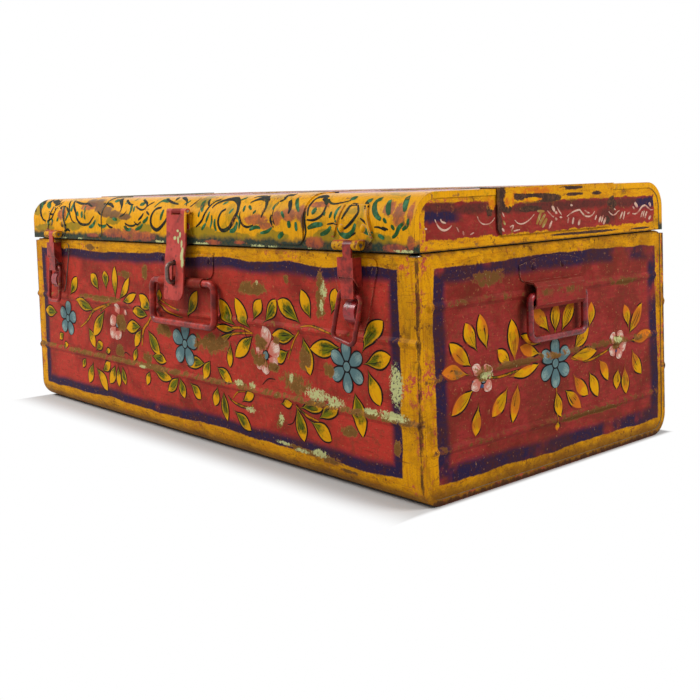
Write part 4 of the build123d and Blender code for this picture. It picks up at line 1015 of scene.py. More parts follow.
def leaf_rows(base, tip, width, bend, belly, blunt, outline):
    """An almond stroke from base to tip; belly is where it is widest and blunt rounds its tip.

    Across it, V runs from 0 to INK_RIM over the outline and on to 1 - INK_RIM and 1.
    """
    (x0, y0), (x1, y1) = base, tip
    length = math.hypot(x1 - x0, y1 - y0)
    nx, ny = -(y1 - y0) / length, (x1 - x0) / length
    steps = max(8, min(26, round(length / LEAF_STEP)))
    lanes = max(3, min(9, round(width / LEAF_LANE)))
    rows = []
    power = math.log(0.5) / math.log(belly)
    for i in range(steps + 1):
        t = 0.5 - 0.5 * math.cos(math.pi * i / steps)
        swell = max(math.sin(math.pi * min(t, 0.9999) ** power), 0.0)
        swell = swell ** ((1.1 - 0.5 * t) * (1 - blunt) + 0.4 * blunt)
        half = max(width / 2 * swell, 0.1)
        inner = half - min(outline, 0.8 * half)
        bow = bend * length * math.sin(math.pi * t)
        cx = x0 + (x1 - x0) * t + nx * bow
        cy = y0 + (y1 - y0) * t + ny * bow
        offsets = [(-half, 0.0)]
        for j in range(lanes + 1):
            s = j / lanes
            offsets.append((inner * (2 * s - 1), INK_RIM + (1 - 2 * INK_RIM) * s))
        offsets.append((half, 1.0))
        rows.append([(cx + nx * off, cy + ny * off, t, across) for off, across in offsets])
    return rows


def smooth_line(points):
    """Points about LINE_STEP apart along a smooth curve through the given ones."""
    ends = [points[0]] + list(points) + [points[-1]]
    line = []
    for k in range(1, len(ends) - 2):
        p0, p1, p2, p3 = ends[k - 1 : k + 3]
        steps = max(2, round(math.dist(p1, p2) / LINE_STEP))
        for i in range(steps):
            t = i / steps
            point = []
            for a, b, c, d in zip(p0, p1, p2, p3):
                square = (2 * a - 5 * b + 4 * c - d) * t * t
                cube = (3 * b - a - 3 * c + d) * t**3
                point.append(0.5 * (2 * b + (c - a) * t + square + cube))
            line.append(tuple(point))
    line.append(tuple(points[-1]))
    return line


def line_rows(points, width):
    """A brushed line through the points, thinner towards its ends."""
    line = smooth_line(points)
    rows = []
    last = len(line) - 1
    for i, (x, y) in enumerate(line):
        ax, ay = line[max(i - 1, 0)]
        bx, by = line[min(i + 1, last)]
        length = math.hypot(bx - ax, by - ay) or 1.0
        nx, ny = -(by - ay) / length, (bx - ax) / length
        t = i / last
        half = width / 2 * (TAPER + (1 - TAPER) * math.sin(math.pi * (0.08 + 0.84 * t)))
        row = []
        for j in range(4):
            s = 2 * j / 3 - 1
            row.append((x + nx * half * s, y + ny * half * s, t, j / 3))
        rows.append(row)
    return rows


def disc_rows(centre, radius):
    """A round dab, as rings from its middle outwards."""
    rows = []
    for reach in (0.02, 0.4, 0.74, 0.77, 1.0):
        r = radius * reach
        row = []
        for j in range(DISC_SIDES + 1):
            a = 2 * math.pi * j / DISC_SIDES
            u = centre[0] + r * math.cos(a)
            v = centre[1] + r * math.sin(a)
            row.append((u, v, 0.5, 0.5 + 0.5 * reach))
        rows.append(row)
    return rows


# ------------------------------------------------------------ paint finishes
def stroke_inputs(tree):
    """How far along and across a stroke, its UV and its place in millimetres."""
    uv = add(tree, "UVMap", uv_map="stroke").outputs[0]
    along, across, _ = apart(tree, uv)
    return along, across, uv, in_millimetres(tree)


def off_middle(tree, across):
    """0 in the middle of a stroke and 1 at its two edges."""
    return absolute(tree, centred(tree, across, 2.0))


def rim_mask(tree, across, ragged):
    """The inked rim of a leaf or petal."""
    off = off_middle(tree, across)
    edge = 1 - 2 * INK_RIM
    return ease(tree, plus(tree, off, ragged), edge - 0.06, edge + 0.06)


def finish_stroke(material, tree, shader, colour, place, wear_group):
    """The wear of the sheet under a stroke, on the stroke too."""
    wear = use(tree, wear_group, {"Place": place})
    colour = worn_colour(tree, colour, wear)
    rough = scaled(tree, wear["Primer"], 0.22, 0.5)
    coat(tree, shader, colour, rough, 0.05, wear["Relief"], 0.2, 0.5)
    return material


def make_leaf_paint(name, wear_group, greenness=1.0, faded=0.0):
    """Yellow leaf, green and ink brushed up from its base, dark outline; faded thins them."""
    material, tree, shader = new_material(name)
    along, across, uv, place = stroke_inputs(tree)
    tone = add(tree, "Attribute", attribute_name="tone").outputs["Fac"]
    # each leaf's streaks come from another part of the noise
    shifted = vector_calc(tree, "SCALE", joined(tree, tone, tone, tone), 40.0)
    seeded = vector_calc(tree, "ADD", uv, shifted)
    streaks = noise(tree, stretched(tree, seeded, (2.5, 9.0, 1.0)), 1.0, 3.0, 0.6)
    veins = noise(tree, stretched(tree, seeded, (1.6, 16.0, 1.0)), 1.0, 2.0, 0.5)
    ragged = centred(tree, noise(tree, place, 0.25, 3.0, 0.6), 0.5)
    browned = ease(tree, streaks, 0.45, 0.75, 0.8)
    yellow = tint(tree, browned, LEAF_YELLOW, rgb(206, 122, 16))
    reach = scaled(tree, tone, 0.4, 0.56)
    green_along = ease(tree, plus(tree, along, ragged), reach, minus(tree, reach, 0.3))
    green_across = ease(tree, plus(tree, off_middle(tree, across), ragged), 0.86, 0.36)
    green = times(tree, green_along, green_across)
    thin = noise(tree, place, 0.035, 3.0, 0.6)
    thin = ease(tree, thin, 0.46, 0.56, faded)
    yellow = tint(tree, thin, yellow, rgb(206, 108, 26))
    green_colour = tint(tree, ease(tree, streaks, 0.36, 0.56), LEAF_GREEN, rgb(110, 110, 8))
    colour = tint(tree, times(tree, green, greenness), yellow, green_colour)
    vein = times(tree, ease(tree, veins, 0.57, 0.62), ease(tree, green, 0.35, 0.8))
    colour = tint(tree, vein, colour, INK)
    outline = rim_mask(tree, across, times(tree, ragged, 0.3))
    bare_rim = times(tree, thin, outline)
    colour = tint(tree, outline, colour, INK)
    colour = tint(tree, bare_rim, colour, rgb(140, 52, 38))
    return finish_stroke(material, tree, shader, colour, place, wear_group)


def make_petal_paint(name, wear_group, fill, pale, inked):
    """Petal with a paler tip and, where inked, a dark outline."""
    material, tree, shader = new_material(name)
    along, across, uv, place = stroke_inputs(tree)
    streaks = noise(tree, stretched(tree, uv, (2.0, 7.0, 1.0)), 1.0, 3.0, 0.6)
    mottle = noise(tree, place, 0.2, 5.0, 0.7)
    ragged = centred(tree, noise(tree, place, 0.3, 3.0, 0.6), 0.4)
    tip = ease(tree, plus(tree, along, ragged), 0.35, 0.8)
    colour = tint(tree, times(tree, tip, ease(tree, streaks, 0.36, 0.6)), fill, pale)
    colour = tint(tree, ease(tree, mottle, 0.5, 0.62, 0.8), colour, fill)
    if inked:
        rim = rim_mask(tree, across, times(tree, ragged, 0.3))
        tip_rim = ease(tree, along, 0.965, 0.995)
        base_rim = ease(tree, along, 0.06, 0.02)
        colour = tint(tree, highest(tree, rim, tip_rim, base_rim), colour, INK)
    return finish_stroke(material, tree, shader, colour, place, wear_group)


def make_line_paint(name, wear_group, colour_a, colour_b, inked=0.0):
    """Brushed line, uneven along its way; inked is how dark its edges are."""
    material, tree, shader = new_material(name)
    _, across, _, place = stroke_inputs(tree)
    uneven = noise(tree, place, 0.12, 4.0, 0.6)
    colour = tint(tree, ease(tree, uneven, 0.45, 0.65), colour_a, colour_b)
    off = plus(tree, off_middle(tree, across), centred(tree, uneven, 0.6))
    colour = tint(tree, ease(tree, off, 0.4, 0.7, inked), colour, INK)
    return finish_stroke(material, tree, shader, colour, place, wear_group)


def make_paints(sheet, wear_group, line, greenness=1.0, faded=0.0):
    """The paints of a garland on one kind of sheet: leaf, blue, white, stem and the line's."""
    return (
        make_leaf_paint(f"leaf_on_{sheet}", wear_group, greenness, faded),
        make_petal_paint(f"blue_on_{sheet}", wear_group, PETAL_BLUE, PETAL_PALE, True),
        make_petal_paint(f"white_on_{sheet}", wear_group, BLOSSOM_PINK, PETAL_WHITE, False),
        make_line_paint(f"stem_on_{sheet}", wear_group, DEEP_YELLOW, STEM_OLIVE, 0.85),
        line,
    )


navy_on_end = make_line_paint("navy_on_end", end_wall_wear, rgb(34, 50, 88), rgb(64, 88, 120))
ink_on_wall = make_line_paint("ink_on_wall", wall_wear, INK, rgb(60, 34, 26))
ink_on_lid = make_line_paint("ink_on_lid", lid_wear, rgb(24, 26, 22), rgb(48, 56, 24))
green_on_lid = make_line_paint("green_on_lid", lid_wear, LID_GREEN, rgb(64, 122, 84))
cream_on_lid = make_line_paint("cream_on_lid", lid_wear, CREAM, rgb(172, 104, 90))
olive_on_lid = make_line_paint("olive_on_lid", lid_wear, OLIVE_PRIMER, rgb(176, 160, 110))
on_wall = make_paints("wall", wall_wear, ink_on_wall)
on_end = make_paints("end", end_wall_wear, navy_on_end, 0.35, 0.9)
on_lid = make_paints("lid", lid_wear, ink_on_lid)


# ------------------------------------------------------------------ ornament
# leaves are (base, tip, width) and stems and lines (points, width), in millimetres on the wall
FRONT_LEAVES = [
    ((-324, 124), (-356, 125), 13), ((-280, 152), (-261, 174), 13), ((-307, 96), (-318, 89), 8),
    ((-307, 79), (-296, 82), 7), ((-200, 162), (-217, 180), 14), ((-180, 164), (-182, 185), 13),
    ((-156, 154), (-155, 192), 10), ((-147, 154), (-122, 180), 9), ((-137, 152), (-107, 162), 8),
    ((-217, 135), (-259, 145), 13), ((-186, 137), (-217, 104), 16), ((-232, 110), (-218, 89), 12),
    ((-215, 82), (-198, 92), 10), ((-188, 83), (-177, 86), 6), ((-245, 68), (-253, 57), 7),
    ((-223, 66), (-236, 40), 12), ((-217, 60), (-190, 35), 14), ((-200, 57), (-180, 69), 10),
    ((-166, 68), (-179, 46), 12), ((-158, 69), (-157, 45), 9), ((-146, 68), (-140, 49), 9),
    ((-70, 147), (-94, 161), 14), ((-80, 138), (-111, 141), 11), ((-95, 123), (-128, 119), 13),
    ((-94, 121), (-110, 100), 10), ((-108, 96), (-116, 81), 7), ((-78, 120), (-56, 96), 14),
    ((-71, 90), (-43, 87), 10), ((-73, 79), (-33, 68), 13), ((-15, 70), (-36, 54), 10),
    ((-10, 70), (-3, 51), 11), ((-79, 70), (-86, 55), 8), ((-52, 157), (-49, 170), 8),
    ((13, 144), (31, 172), 13), ((105, 142), (78, 166), 17), ((130, 142), (108, 169), 15),
    ((139, 150), (151, 170), 12), ((158, 150), (176, 172), 12), ((217, 152), (184, 172), 17),
    ((233, 160), (221, 184), 12), ((264, 166), (271, 188), 11), ((207, 140), (173, 138), 12),
    ((135, 133), (105, 110), 14), ((104, 138), (70, 138), 6), ((105, 136), (70, 121), 5),
    ((95, 122), (92, 98), 8), ((43, 93), (8, 89), 11), ((53, 97), (42, 78), 11),
    ((68, 92), (92, 80), 10), ((10, 68), (29, 54), 10), ((66, 70), (60, 51), 10),
    ((78, 65), (83, 38), 10), ((112, 60), (132, 71), 8), ((98, 48), (124, 33), 11),
    ((180, 68), (197, 71), 7), ((206, 70), (216, 38), 14), ((212, 68), (246, 73), 9),
    ((242, 62), (270, 75), 10), ((227, 57), (256, 44), 13), ((196, 124), (175, 114), 11),
    ((220, 139), (229, 106), 16), ((274, 135), (234, 130), 15), ((307, 133), (334, 163), 16),
    ((309, 123), (342, 133), 14), ((314, 118), (328, 90), 14), ((295, 93), (304, 57), 17),
]
FRONT_STEMS = [
    ([(-255, 110), (-235, 120), (-215, 135), (-178, 145), (-165, 148)], 3.2),
    ([(-200, 134), (-185, 141), (-168, 146)], 2.2),
    ([(-68, 141), (-78, 130), (-90, 120), (-95, 100)], 3.4),
    ([(-55, 157), (-30, 148), (0, 142)], 1.8), ([(-48, 160), (-25, 153), (-5, 150)], 1.6),
    ([(136, 136), (115, 140), (90, 138), (68, 141)], 2.6),
    ([(136, 136), (100, 132), (70, 118)], 2.0), ([(218, 150), (235, 152), (268, 147)], 1.8),
    ([(217, 147), (206, 136), (195, 115)], 1.8), ([(205, 69), (222, 62), (240, 59)], 2.4),
    ([(86, 62), (100, 57), (124, 55), (132, 60)], 2.4), ([(95, 62), (105, 70), (122, 73)], 1.6),
]
FRONT_INK = [
    ([(-55, 157), (-28, 145), (0, 142)], 1.4), ([(86, 64), (96, 57), (112, 54), (130, 56)], 1.3),
    ([(206, 71), (222, 60), (236, 57)], 1.3), ([(150, 84), (160, 91), (172, 92)], 1.2),
    ([(-124, 84), (-135, 88), (-142, 85)], 1.2), ([(120, 143), (126, 128), (132, 134)], 1.0),
    ([(190, 48), (200, 52), (207, 66)], 1.1),
]
# blossoms are (centre, reach, petals, first angle, petal width)
FRONT_BLOSSOMS = [
    ((-291, 118.7), 24, 5, 82, 17), ((3, 112), 27, 5, 85, 18), ((285, 118), 25, 6, 92, 14.5),
]
# loose petals are (base, tip, width)
FRONT_DABS = [
    ((-148, 135), (-154, 146), 9), ((-156, 130), (-170, 122), 9), ((-158, 118), (-170, 106), 10),
    ((-154, 112), (-146, 108), 8), ((-136, 136), (-131, 140), 4), ((-152, 113), (-159, 104), 7),
    ((158, 121), (158, 143), 12), ((161, 118), (179, 126), 13), ((162, 113), (176, 108), 10),
    ((158, 110), (157, 97), 8), ((155, 112), (144, 102), 8), ((154, 117), (143, 122), 8),
]
# the small blue hearts of the pale blossoms
FRONT_HEARTS = [((158, 115.5), 5.5), ((-154, 121), 4.0)]
END_HEARTS = [((-109, 105), 4.5), ((103, 110), 4.0)]
END_NAVY = [
    ([(-124, 105), (-112, 99), (-99, 101)], 3.4), ([(-118, 111), (-108, 113), (-99, 109)], 2.6),
    ([(94, 108), (104, 103), (113, 108)], 2.8), ([(98, 115), (106, 117), (112, 113)], 2.0),
]
END_LEAVES = [
    ((-126, 120), (-151, 142), 12), ((-116, 132), (-130, 157), 12),
    ((-103, 133), (-111, 163), 12), ((-131, 112), (-161, 118), 12), ((-123, 97), (-150, 80), 11),
    ((-116, 83), (-121, 57), 10), ((-71, 115), (-86, 128), 10), ((-64, 115), (-67, 153), 14),
    ((-75, 92), (-96, 70), 13), ((-60, 92), (-68, 60), 11), ((-73, 102), (-31, 107), 8),
    ((-23, 117), (-53, 127), 10), ((-25, 128), (-51, 138), 8), ((-10, 136), (-33, 160), 13),
    ((0, 137), (2, 163), 12), ((10, 136), (28, 162), 13), ((30, 115), (52, 132), 12),
    ((24, 107), (64, 108), 11), ((55, 135), (59, 157), 10), ((27, 90), (49, 67), 12),
    ((54, 87), (67, 63), 11), ((72, 97), (85, 77), 10), ((14, 75), (37, 55), 11),
    ((-1, 77), (4, 53), 10), ((105, 83), (102, 65), 10), ((117, 85), (119, 58), 11),
    ((132, 100), (147, 75), 12), ((125, 112), (164, 117), 11), ((127, 120), (149, 147), 12),
    ((125, 125), (119, 148), 10), ((-1, 47), (-1, 38), 6),
]
END_STEMS = [
    ([(-112, 108), (-90, 104), (-68, 105), (-28, 108)], 2.2),
    ([(24, 106), (50, 100), (78, 104), (100, 110)], 2.2), ([(-1, 128), (-1, 145)], 1.6),
    ([(-1, 85), (0, 60), (-1, 46)], 1.6),
]
END_BLOSSOMS = [((-2, 105), 25, 6, 90, 15)]
END_DABS = [
    ((-112, 109), (-100, 114), 8), ((-113, 108), (-122, 118), 7), ((-112, 104), (-124, 99), 7),
    ((-108, 104), (-100, 95), 7), ((102, 113), (93, 120), 8), ((104, 113), (112, 122), 8),
    ((106, 109), (118, 108), 8), ((100, 108), (92, 102), 8), ((104, 106), (108, 96), 7),
]
# scrolls on the lid's front, as (points, width)
LID_SCROLLS = [
    ([(-385.7, 277.5), (-368.1, 269.5), (-357.7, 259.5), (-350, 252.5), (-342, 250.5)], 3.4),
    ([(-346.3, 279.6), (-329.1, 275.5), (-324.3, 271.5)], 3),
    ([(-324.3, 271.5), (-314.4, 273.5), (-310, 276.5)], 2),
    ([(-281.2, 277.5), (-255.2, 263.5), (-248, 253.5), (-238, 247.5), (-226, 246.5),
        (-214, 247.5), (-207, 251.5), (-198.7, 257.5)], 3),
    ([(-275.2, 276.5), (-248.5, 273.5), (-230.2, 273.5), (-210.8, 269.5)], 2.2),
    ([(-185.6, 273.5), (-170.3, 272.5), (-155.9, 268.5)], 2.6),
    ([(-168, 248.5), (-160, 244.5), (-152, 243.5)], 2.4),
    ([(-161.1, 279.5), (-139.2, 271.5), (-133.8, 263.5)], 2.8),
    ([(-121, 249.5), (-112, 246.5), (-100, 246.5), (-92, 249.5)], 2.2),
    ([(-88, 253.5), (-80.7, 257.5), (-77.4, 261.5)], 2.8),
    ([(-101.8, 269.5), (-85.3, 265.5), (-77.2, 267.5), (-79.2, 272.5), (-98.8, 277.5)], 2),
    ([(-77.2, 267.5), (-72.4, 271.5), (-65.9, 274.5)], 2),
    ([(-40.5, 268), (-51, 266.5), (-56.3, 261.5), (-59.1, 254.5), (-58, 247.5), (-50, 242.5),
        (-42, 243), (-30, 249.5), (-20.6, 257.5), (-15.4, 263.5)], 3.6),
    ([(20.4, 268.5), (25.5, 273.5), (26.2, 277.5)], 2),
    ([(38, 246.5), (50, 253.5), (55.4, 262.5), (59.6, 269.5), (64.3, 274.5), (71.3, 276)], 2.6),
    ([(47.5, 276.5), (57.6, 269.5)], 2.2),
    ([(93.2, 266), (86.9, 263.5), (83.4, 257.5), (82, 250.5), (86, 244.5), (94, 243.5),
        (104, 247.5), (111.7, 256.5), (116, 263.5), (111.7, 271.5), (99.8, 276), (88.4, 276.5),
        (76.5, 274.5), (69.2, 271.5), (65.7, 267.5)], 3.8),
    ([(122.2, 258.5), (126, 250.5), (135, 247.5), (146, 249.5)], 2.2),
    ([(131.6, 272.5), (138.6, 275.5), (147.6, 276.5), (157.8, 274.5), (163.4, 267.5),
        (161.2, 261.5), (159.5, 257.5)], 3.2),
    ([(176.6, 260.5), (175.9, 254.5), (182, 247.5)], 3),
    ([(198.5, 274.5), (205.6, 267.5), (205.2, 261.5)], 4),
    ([(233.9, 255.5), (244.9, 255.5), (255, 259.5), (258.4, 265.5), (256.3, 271.5),
        (245.6, 275.5)], 2.4),
    ([(235, 259.5), (232.8, 267.5), (233.9, 272.5), (235.5, 276.5), (243.4, 277.5),
        (251.8, 276.5)], 2.6),
    ([(303.7, 269.5), (295.7, 269.5), (291.6, 263.5), (286.7, 256.5)], 2.6),
    ([(286, 247.5), (292, 248.5), (300, 253.5), (305.4, 258.5), (308.6, 263.5),
        (304.7, 269.5)], 2.6), ([(312.6, 257.5), (318, 254.5), (322, 251.5)], 1.8),
    ([(340, 249.5), (348, 247.5)], 1.8), ([(264, 251.5), (274, 252.5), (281, 251.5)], 1.4),
    ([(311.9, 272.5), (319, 266.5)], 3.4), ([(-45.5, 277.5), (-23.2, 273.5), (-7.7, 271.5)], 1.8),
    ([(-334.5, 263.5), (-319.7, 259.5), (-314.4, 263.5), (-317.7, 269.5)], 2.2),
    ([(-349.4, 279.6), (-330.4, 276.5), (-316.2, 272.5)], 5),
    ([(-302.6, 269.5), (-294, 268.5), (-291.1, 270.5)], 4),
    ([(-344.6, 272.5), (-350.8, 276.5), (-358.6, 279.5)], 2.6),
    ([(-363.1, 273.5), (-379.7, 278.5), (-383.5, 279.6)], 3),
    ([(-376.6, 263.5), (-390, 271.5), (-409.5, 278.5)], 3.4),
    ([(-316.8, 257.5), (-314.4, 263.5), (-311.6, 269.5), (-309.4, 273.5)], 2.2),
    ([(-287.4, 269.5), (-275.3, 263.5), (-266.8, 257.5)], 2.6),
    ([(-293.5, 277.5), (-279.4, 269.5), (-269.6, 259.5), (-262, 251.5), (-254, 248.5)], 2.2),
    ([(-332, 250.5), (-322, 253.5), (-315.7, 259.5)], 2.4),
    ([(-296, 247.5), (-288, 244.5), (-280, 245.5)], 3.6),
    ([(-284, 237.5), (-276, 239.5), (-270, 237.5)], 3),
    ([(-132.7, 257.5), (-125.4, 259.5), (-119.8, 263.5)], 1.8),
    ([(-139.8, 277.5), (-120.7, 272.5), (-110.9, 271.5)], 1.8),
    ([(-120, 248.5), (-117, 243.5), (-110, 241.5)], 1.8),
    ([(-98, 251.5), (-92, 247.5), (-82, 251.5)], 1.6), ([(-71.6, 263.5), (-63.3, 259.5)], 2.2),
    ([(-190, 263.5), (-181.5, 259.5)], 2), ([(-27.5, 279.6), (-19.9, 276.5)], 2.6),
    ([(-19.2, 279.6), (3.1, 275.5), (11.2, 269.5)], 1.6),
    ([(128.6, 277.5), (133.4, 279), (147.9, 278.5), (161.9, 274.5)], 2.2),
    ([(178.6, 269.5), (179, 259.5), (184, 250.5)], 1.8),
    ([(182.8, 273.5), (188.5, 275.5), (184.3, 279.5), (196.1, 279.6)], 2.6),
    ([(240.5, 278.5), (256.9, 273.5), (268.5, 270.5), (289.4, 273.5)], 1.4),
    ([(252.8, 273.5), (259.4, 271.5)], 4.2),
    ([(230.4, 263.5), (231, 253.5), (232, 243.5), (228, 234.5)], 2),
    ([(121, 263.5), (121.7, 256.5), (126, 250.5)], 1.4),
    ([(330, 249.5), (336, 249.5), (345, 246.5)], 1.6), ([(300, 241.5), (306, 244.5)], 1.6),
]
LID_GREENS = [
    ([(-337, 247.5), (-326, 248.5), (-317, 252.5)], 4.4),
    ([(-359, 277.5), (-350, 273.5), (-336.3, 268.5)], 4.4),
    ([(-274.2, 265.5), (-275.6, 259.5), (-276.2, 255.5)], 4.6),
    ([(-282, 251.5), (-272.3, 263.5), (-272.7, 271.5)], 3),
    ([(-238.2, 263.5), (-233.2, 255.5)], 4.6), ([(-234, 269.5), (-225.4, 262.5)], 4.2),
    ([(-213, 243.5), (-203, 245.5), (-194, 252.5)], 4.2), ([(-167.4, 277.5), (-155.7, 276.5)], 4),
    ([(-78, 250.5), (-70, 253.5), (-65.6, 257.5)], 3.8), ([(-95.4, 272.5), (-84.4, 272)], 3.6),
    ([(-114.9, 276.5), (-117.6, 279.5)], 3),
    ([(-57.2, 268.5), (-53.6, 273.5), (-48.5, 276.5), (-33.3, 274.5)], 3.4),
    ([(-37, 253.5), (-35.3, 259.5), (-33, 265.5)], 4.4), ([(4.5, 271.5), (12.4, 275)], 2.4),
    ([(48.8, 263.5), (42.9, 271.5), (39.8, 275.5)], 5),
    ([(75.8, 255.5), (75, 248.5), (78, 242.5)], 3.4),
    ([(58, 251.5), (61.4, 257.5), (63.8, 263.5)], 3), ([(49, 243.5), (58, 250.5)], 3.2),
    ([(103, 242.5), (112, 244.5), (118, 252.5)], 4.4), ([(101, 261.5), (106.9, 266.5)], 2.6),
    ([(82.3, 271.5), (89.4, 273.5)], 2.4), ([(127, 263.5), (125.2, 269.5)], 3.4),
    ([(109.1, 275.5), (116.4, 277.5)], 2.2), ([(139, 244.5), (150, 247.5), (158, 246.5)], 3.2),
    ([(176, 265.5), (178.6, 269.5), (182.2, 272.5)], 4.4), ([(189, 237.5), (198, 242.5)], 4.6),
    ([(206.9, 276.5), (212.8, 271.5), (221.3, 263.5)], 3.4), ([(206.9, 254.5), (208, 247.5)], 5),
    ([(218, 253.5), (219, 244.5)], 3.8), ([(240.3, 261.5), (245.6, 266.5)], 4.6),
    ([(235, 247.5), (246, 250.5), (258, 251.5)], 4.4),
    ([(254, 241.5), (264, 244.5), (270, 249.5)], 3.8),
    ([(283.4, 268.5), (278, 264.5), (276.3, 258.5), (280, 253.5)], 4.8),
    ([(281, 248.5), (285, 243.5), (293, 241), (301, 244.5), (306, 252.5)], 4.6),
    ([(315, 247.5), (321, 245.5), (328, 243.5)], 4.6), ([(311.9, 272.5), (318.8, 273.5)], 3.4),
    ([(330.7, 274.5), (325, 272.5), (327.7, 265.5), (333.1, 259.5), (338.8, 256.5)], 4.8),
    ([(342.1, 273.5), (344.6, 267.5), (348.9, 260.5)], 5),
    ([(361.1, 276.5), (365.3, 269.5), (367.8, 263.5)], 5),
    ([(353, 240.5), (358, 243.5), (362, 249.5), (368, 253.5)], 3.6),
    ([(335, 242.5), (343, 239.5)], 3.2),
    ([(-111.4, 259.5), (-109.4, 265.5), (-114.9, 271.5)], 3.6),
    ([(-132.9, 272.5), (-131.4, 275.5)], 3.4), ([(-152.1, 254.5), (-140, 253.5)], 3.4),
    ([(-361.1, 267.5), (-370.2, 273.5), (-383.8, 278.5)], 3.6),
    ([(-306, 250.5), (-300.2, 255.5)], 3.4),
    ([(-266.3, 263.5), (-271.3, 269.5), (-275.3, 274.5)], 3.6),
    ([(-250.2, 263.5), (-244.7, 257.5)], 3.2),
    ([(-230.2, 263.5), (-225.7, 257.5), (-222, 253.5)], 3.4),
    ([(-188, 247.5), (-178, 244.5), (-168, 246.5)], 3.4),
    ([(-124, 245.5), (-116, 241.5), (-106, 242.5)], 3.6), ([(-101.7, 263.5), (-105.8, 269.5)], 3),
    ([(-96, 241.5), (-84, 244.5), (-78, 248.5)], 3.4), ([(-14, 253.5), (-18, 247.5)], 3),
    ([(43.4, 257.5), (42.8, 263.5)], 3.4), ([(66, 245.5), (70, 253.5), (68.8, 259.5)], 2.6),
    ([(120, 245.5), (122, 253.5), (116.9, 259.5)], 2.8), ([(144.1, 261.5), (148.5, 264.5)], 2.6),
    ([(132.2, 269.5), (139.8, 265.5)], 2.4), ([(158, 241.5), (170, 243.5), (178, 247.5)], 3),
    ([(193.3, 263.5), (199.5, 257.5)], 3), ([(267.6, 257.5), (269.5, 263.5)], 3),
    ([(259.5, 263.5), (259.1, 259.5)], 2.4), ([(352, 251.5), (356, 247.5)], 3),
    ([(366, 247.5), (372, 251.5), (373.6, 257.5)], 3.2), ([(341.6, 257.5), (346, 253.5)], 3),
    ([(286.4, 275.5), (294.5, 275.5)], 3),
]
# the vine along the lid's ends
VINE_STROKES = [
    ([(-168.5, 255.6), (-166, 251), (-161.8, 246.8), (-156.5, 245.2), (-151.5, 246.3),
        (-147.2, 249)], 2.6), ([(-161.3, 255.6), (-159.7, 253), (-154.5, 251.5)], 2.4),
    ([(-181.5, 248), (-178.5, 247.5)], 2.6), ([(-141, 247.3), (-137.8, 242.6)], 2),
    ([(-132.6, 243.1), (-131.6, 239.5)], 3.2), ([(-123.2, 239.5), (-118, 241)], 1.8),
    ([(-112.8, 255.6), (-110.7, 251.5), (-105.5, 248.3), (-98.2, 247.8), (-92, 250.4),
        (-88.9, 253.5)], 1.7), ([(-80.5, 257.7), (-77.9, 253.5)], 2),
    ([(-81.5, 243), (-78, 240)], 3), ([(-70.1, 243.6), (-64.9, 244.7), (-68, 240)], 2.6),
    ([(-64.9, 239.5), (-55.5, 240.5)], 2),
    ([(-62.8, 249.9), (-58.7, 246.8), (-52.5, 245.7), (-45.1, 247.3), (-38.9, 250.4),
        (-33.7, 254)], 1.8), ([(-13.9, 256.7), (-6.5, 251.5), (-3.5, 250)], 2.2),
    ([(-6.1, 261), (-1.9, 255.6)], 5), ([(-6.5, 246.3), (-11.8, 239)], 3.6),
    ([(1.6, 259.8), (4.8, 255.6), (8.9, 251.5)], 2.2), ([(-1.5, 254.8), (2, 253.3)], 4),
    ([(5.5, 249.5), (9.5, 249)], 2.8), ([(-2, 248.5), (2, 247.5)], 4),
    ([(23, 260.5), (27, 260.2)], 3), ([(20.1, 248.5), (18.5, 243)], 3.6),
    ([(28.4, 248), (26.1, 241.4)], 4.2), ([(38.8, 246), (35.8, 239.8)], 4.8),
    ([(17.3, 249.4), (22.5, 252), (28.7, 254), (34.5, 255), (38.6, 255.1), (42.3, 252),
        (47.5, 248.9), (53.7, 247.8), (60, 249.4), (64.1, 253)], 2.5),
    ([(46.5, 254.6), (50.6, 252.5), (54.8, 251.3)], 2.6), ([(66.9, 248.5), (63.9, 244)], 3.2),
    ([(74.5, 247.3), (70.4, 241)], 4.2), ([(78.7, 248), (74.9, 241)], 3.4),
    ([(83.1, 245.5), (78.2, 238.8)], 4.6),
    ([(88.1, 251.5), (94.3, 247.8), (102.7, 247.8), (106.8, 250.4), (110.5, 251.5)], 2.1),
    ([(99.5, 254.6), (103.7, 252.5)], 2), ([(116.2, 249.9), (111, 242.6)], 3.2),
    ([(120.4, 250.4), (117.1, 242)], 3.4), ([(124.5, 247.3), (129.8, 248.9)], 3),
    ([(133.9, 247.3), (140.2, 246.8), (146.4, 249.4), (152.7, 254), (158.9, 255.1),
        (164.1, 252.5), (169.3, 249.9), (173.5, 249.9)], 2.8),
    ([(138.6, 258.8), (144.3, 254)], 5.4), ([(135, 254.8), (138.3, 251.8)], 3.2),
    ([(166, 258), (169.5, 253.8)], 5), ([(153.7, 248.9), (150.1, 242.6)], 3.4),
    ([(157, 249.4), (153.9, 242)], 3), ([(162, 248.3), (157.7, 241.4)], 4.2),
    ([(169.5, 243.3), (165, 239.8)], 4.6),
]
VINE_OLIVES = [
    ([(-23.2, 255.6), (-30.5, 244.2)], 3.6), ([(-17, 253.5), (-26.1, 243.6)], 3.8),
    ([(-14.3, 249), (-22.2, 240.8)], 4.2), ([(-29, 256.9), (-18, 256.1)], 2.6),
    ([(-79.5, 250), (-76.5, 246)], 2.6),
]


# how far the strokes stand off the sheet, in millimetres: what is painted later is higher
STEM_LIFT, LEAF_LIFT, INK_LIFT, PETAL_LIFT, HEART_LIFT = 0.12, 0.22, 0.3, 0.42, 0.62
GREEN_LIFT, VINE_LIFT, SCROLL_LIFT = 0.14, 0.16, 0.2
# a blossom's heart and where its petals start, in millimetres from its middle
HEART_RADIUS, PETAL_START = 6.0, 3.5
# leaves narrower than this are broadened more, and wider ones less
FULL_LEAF = 17


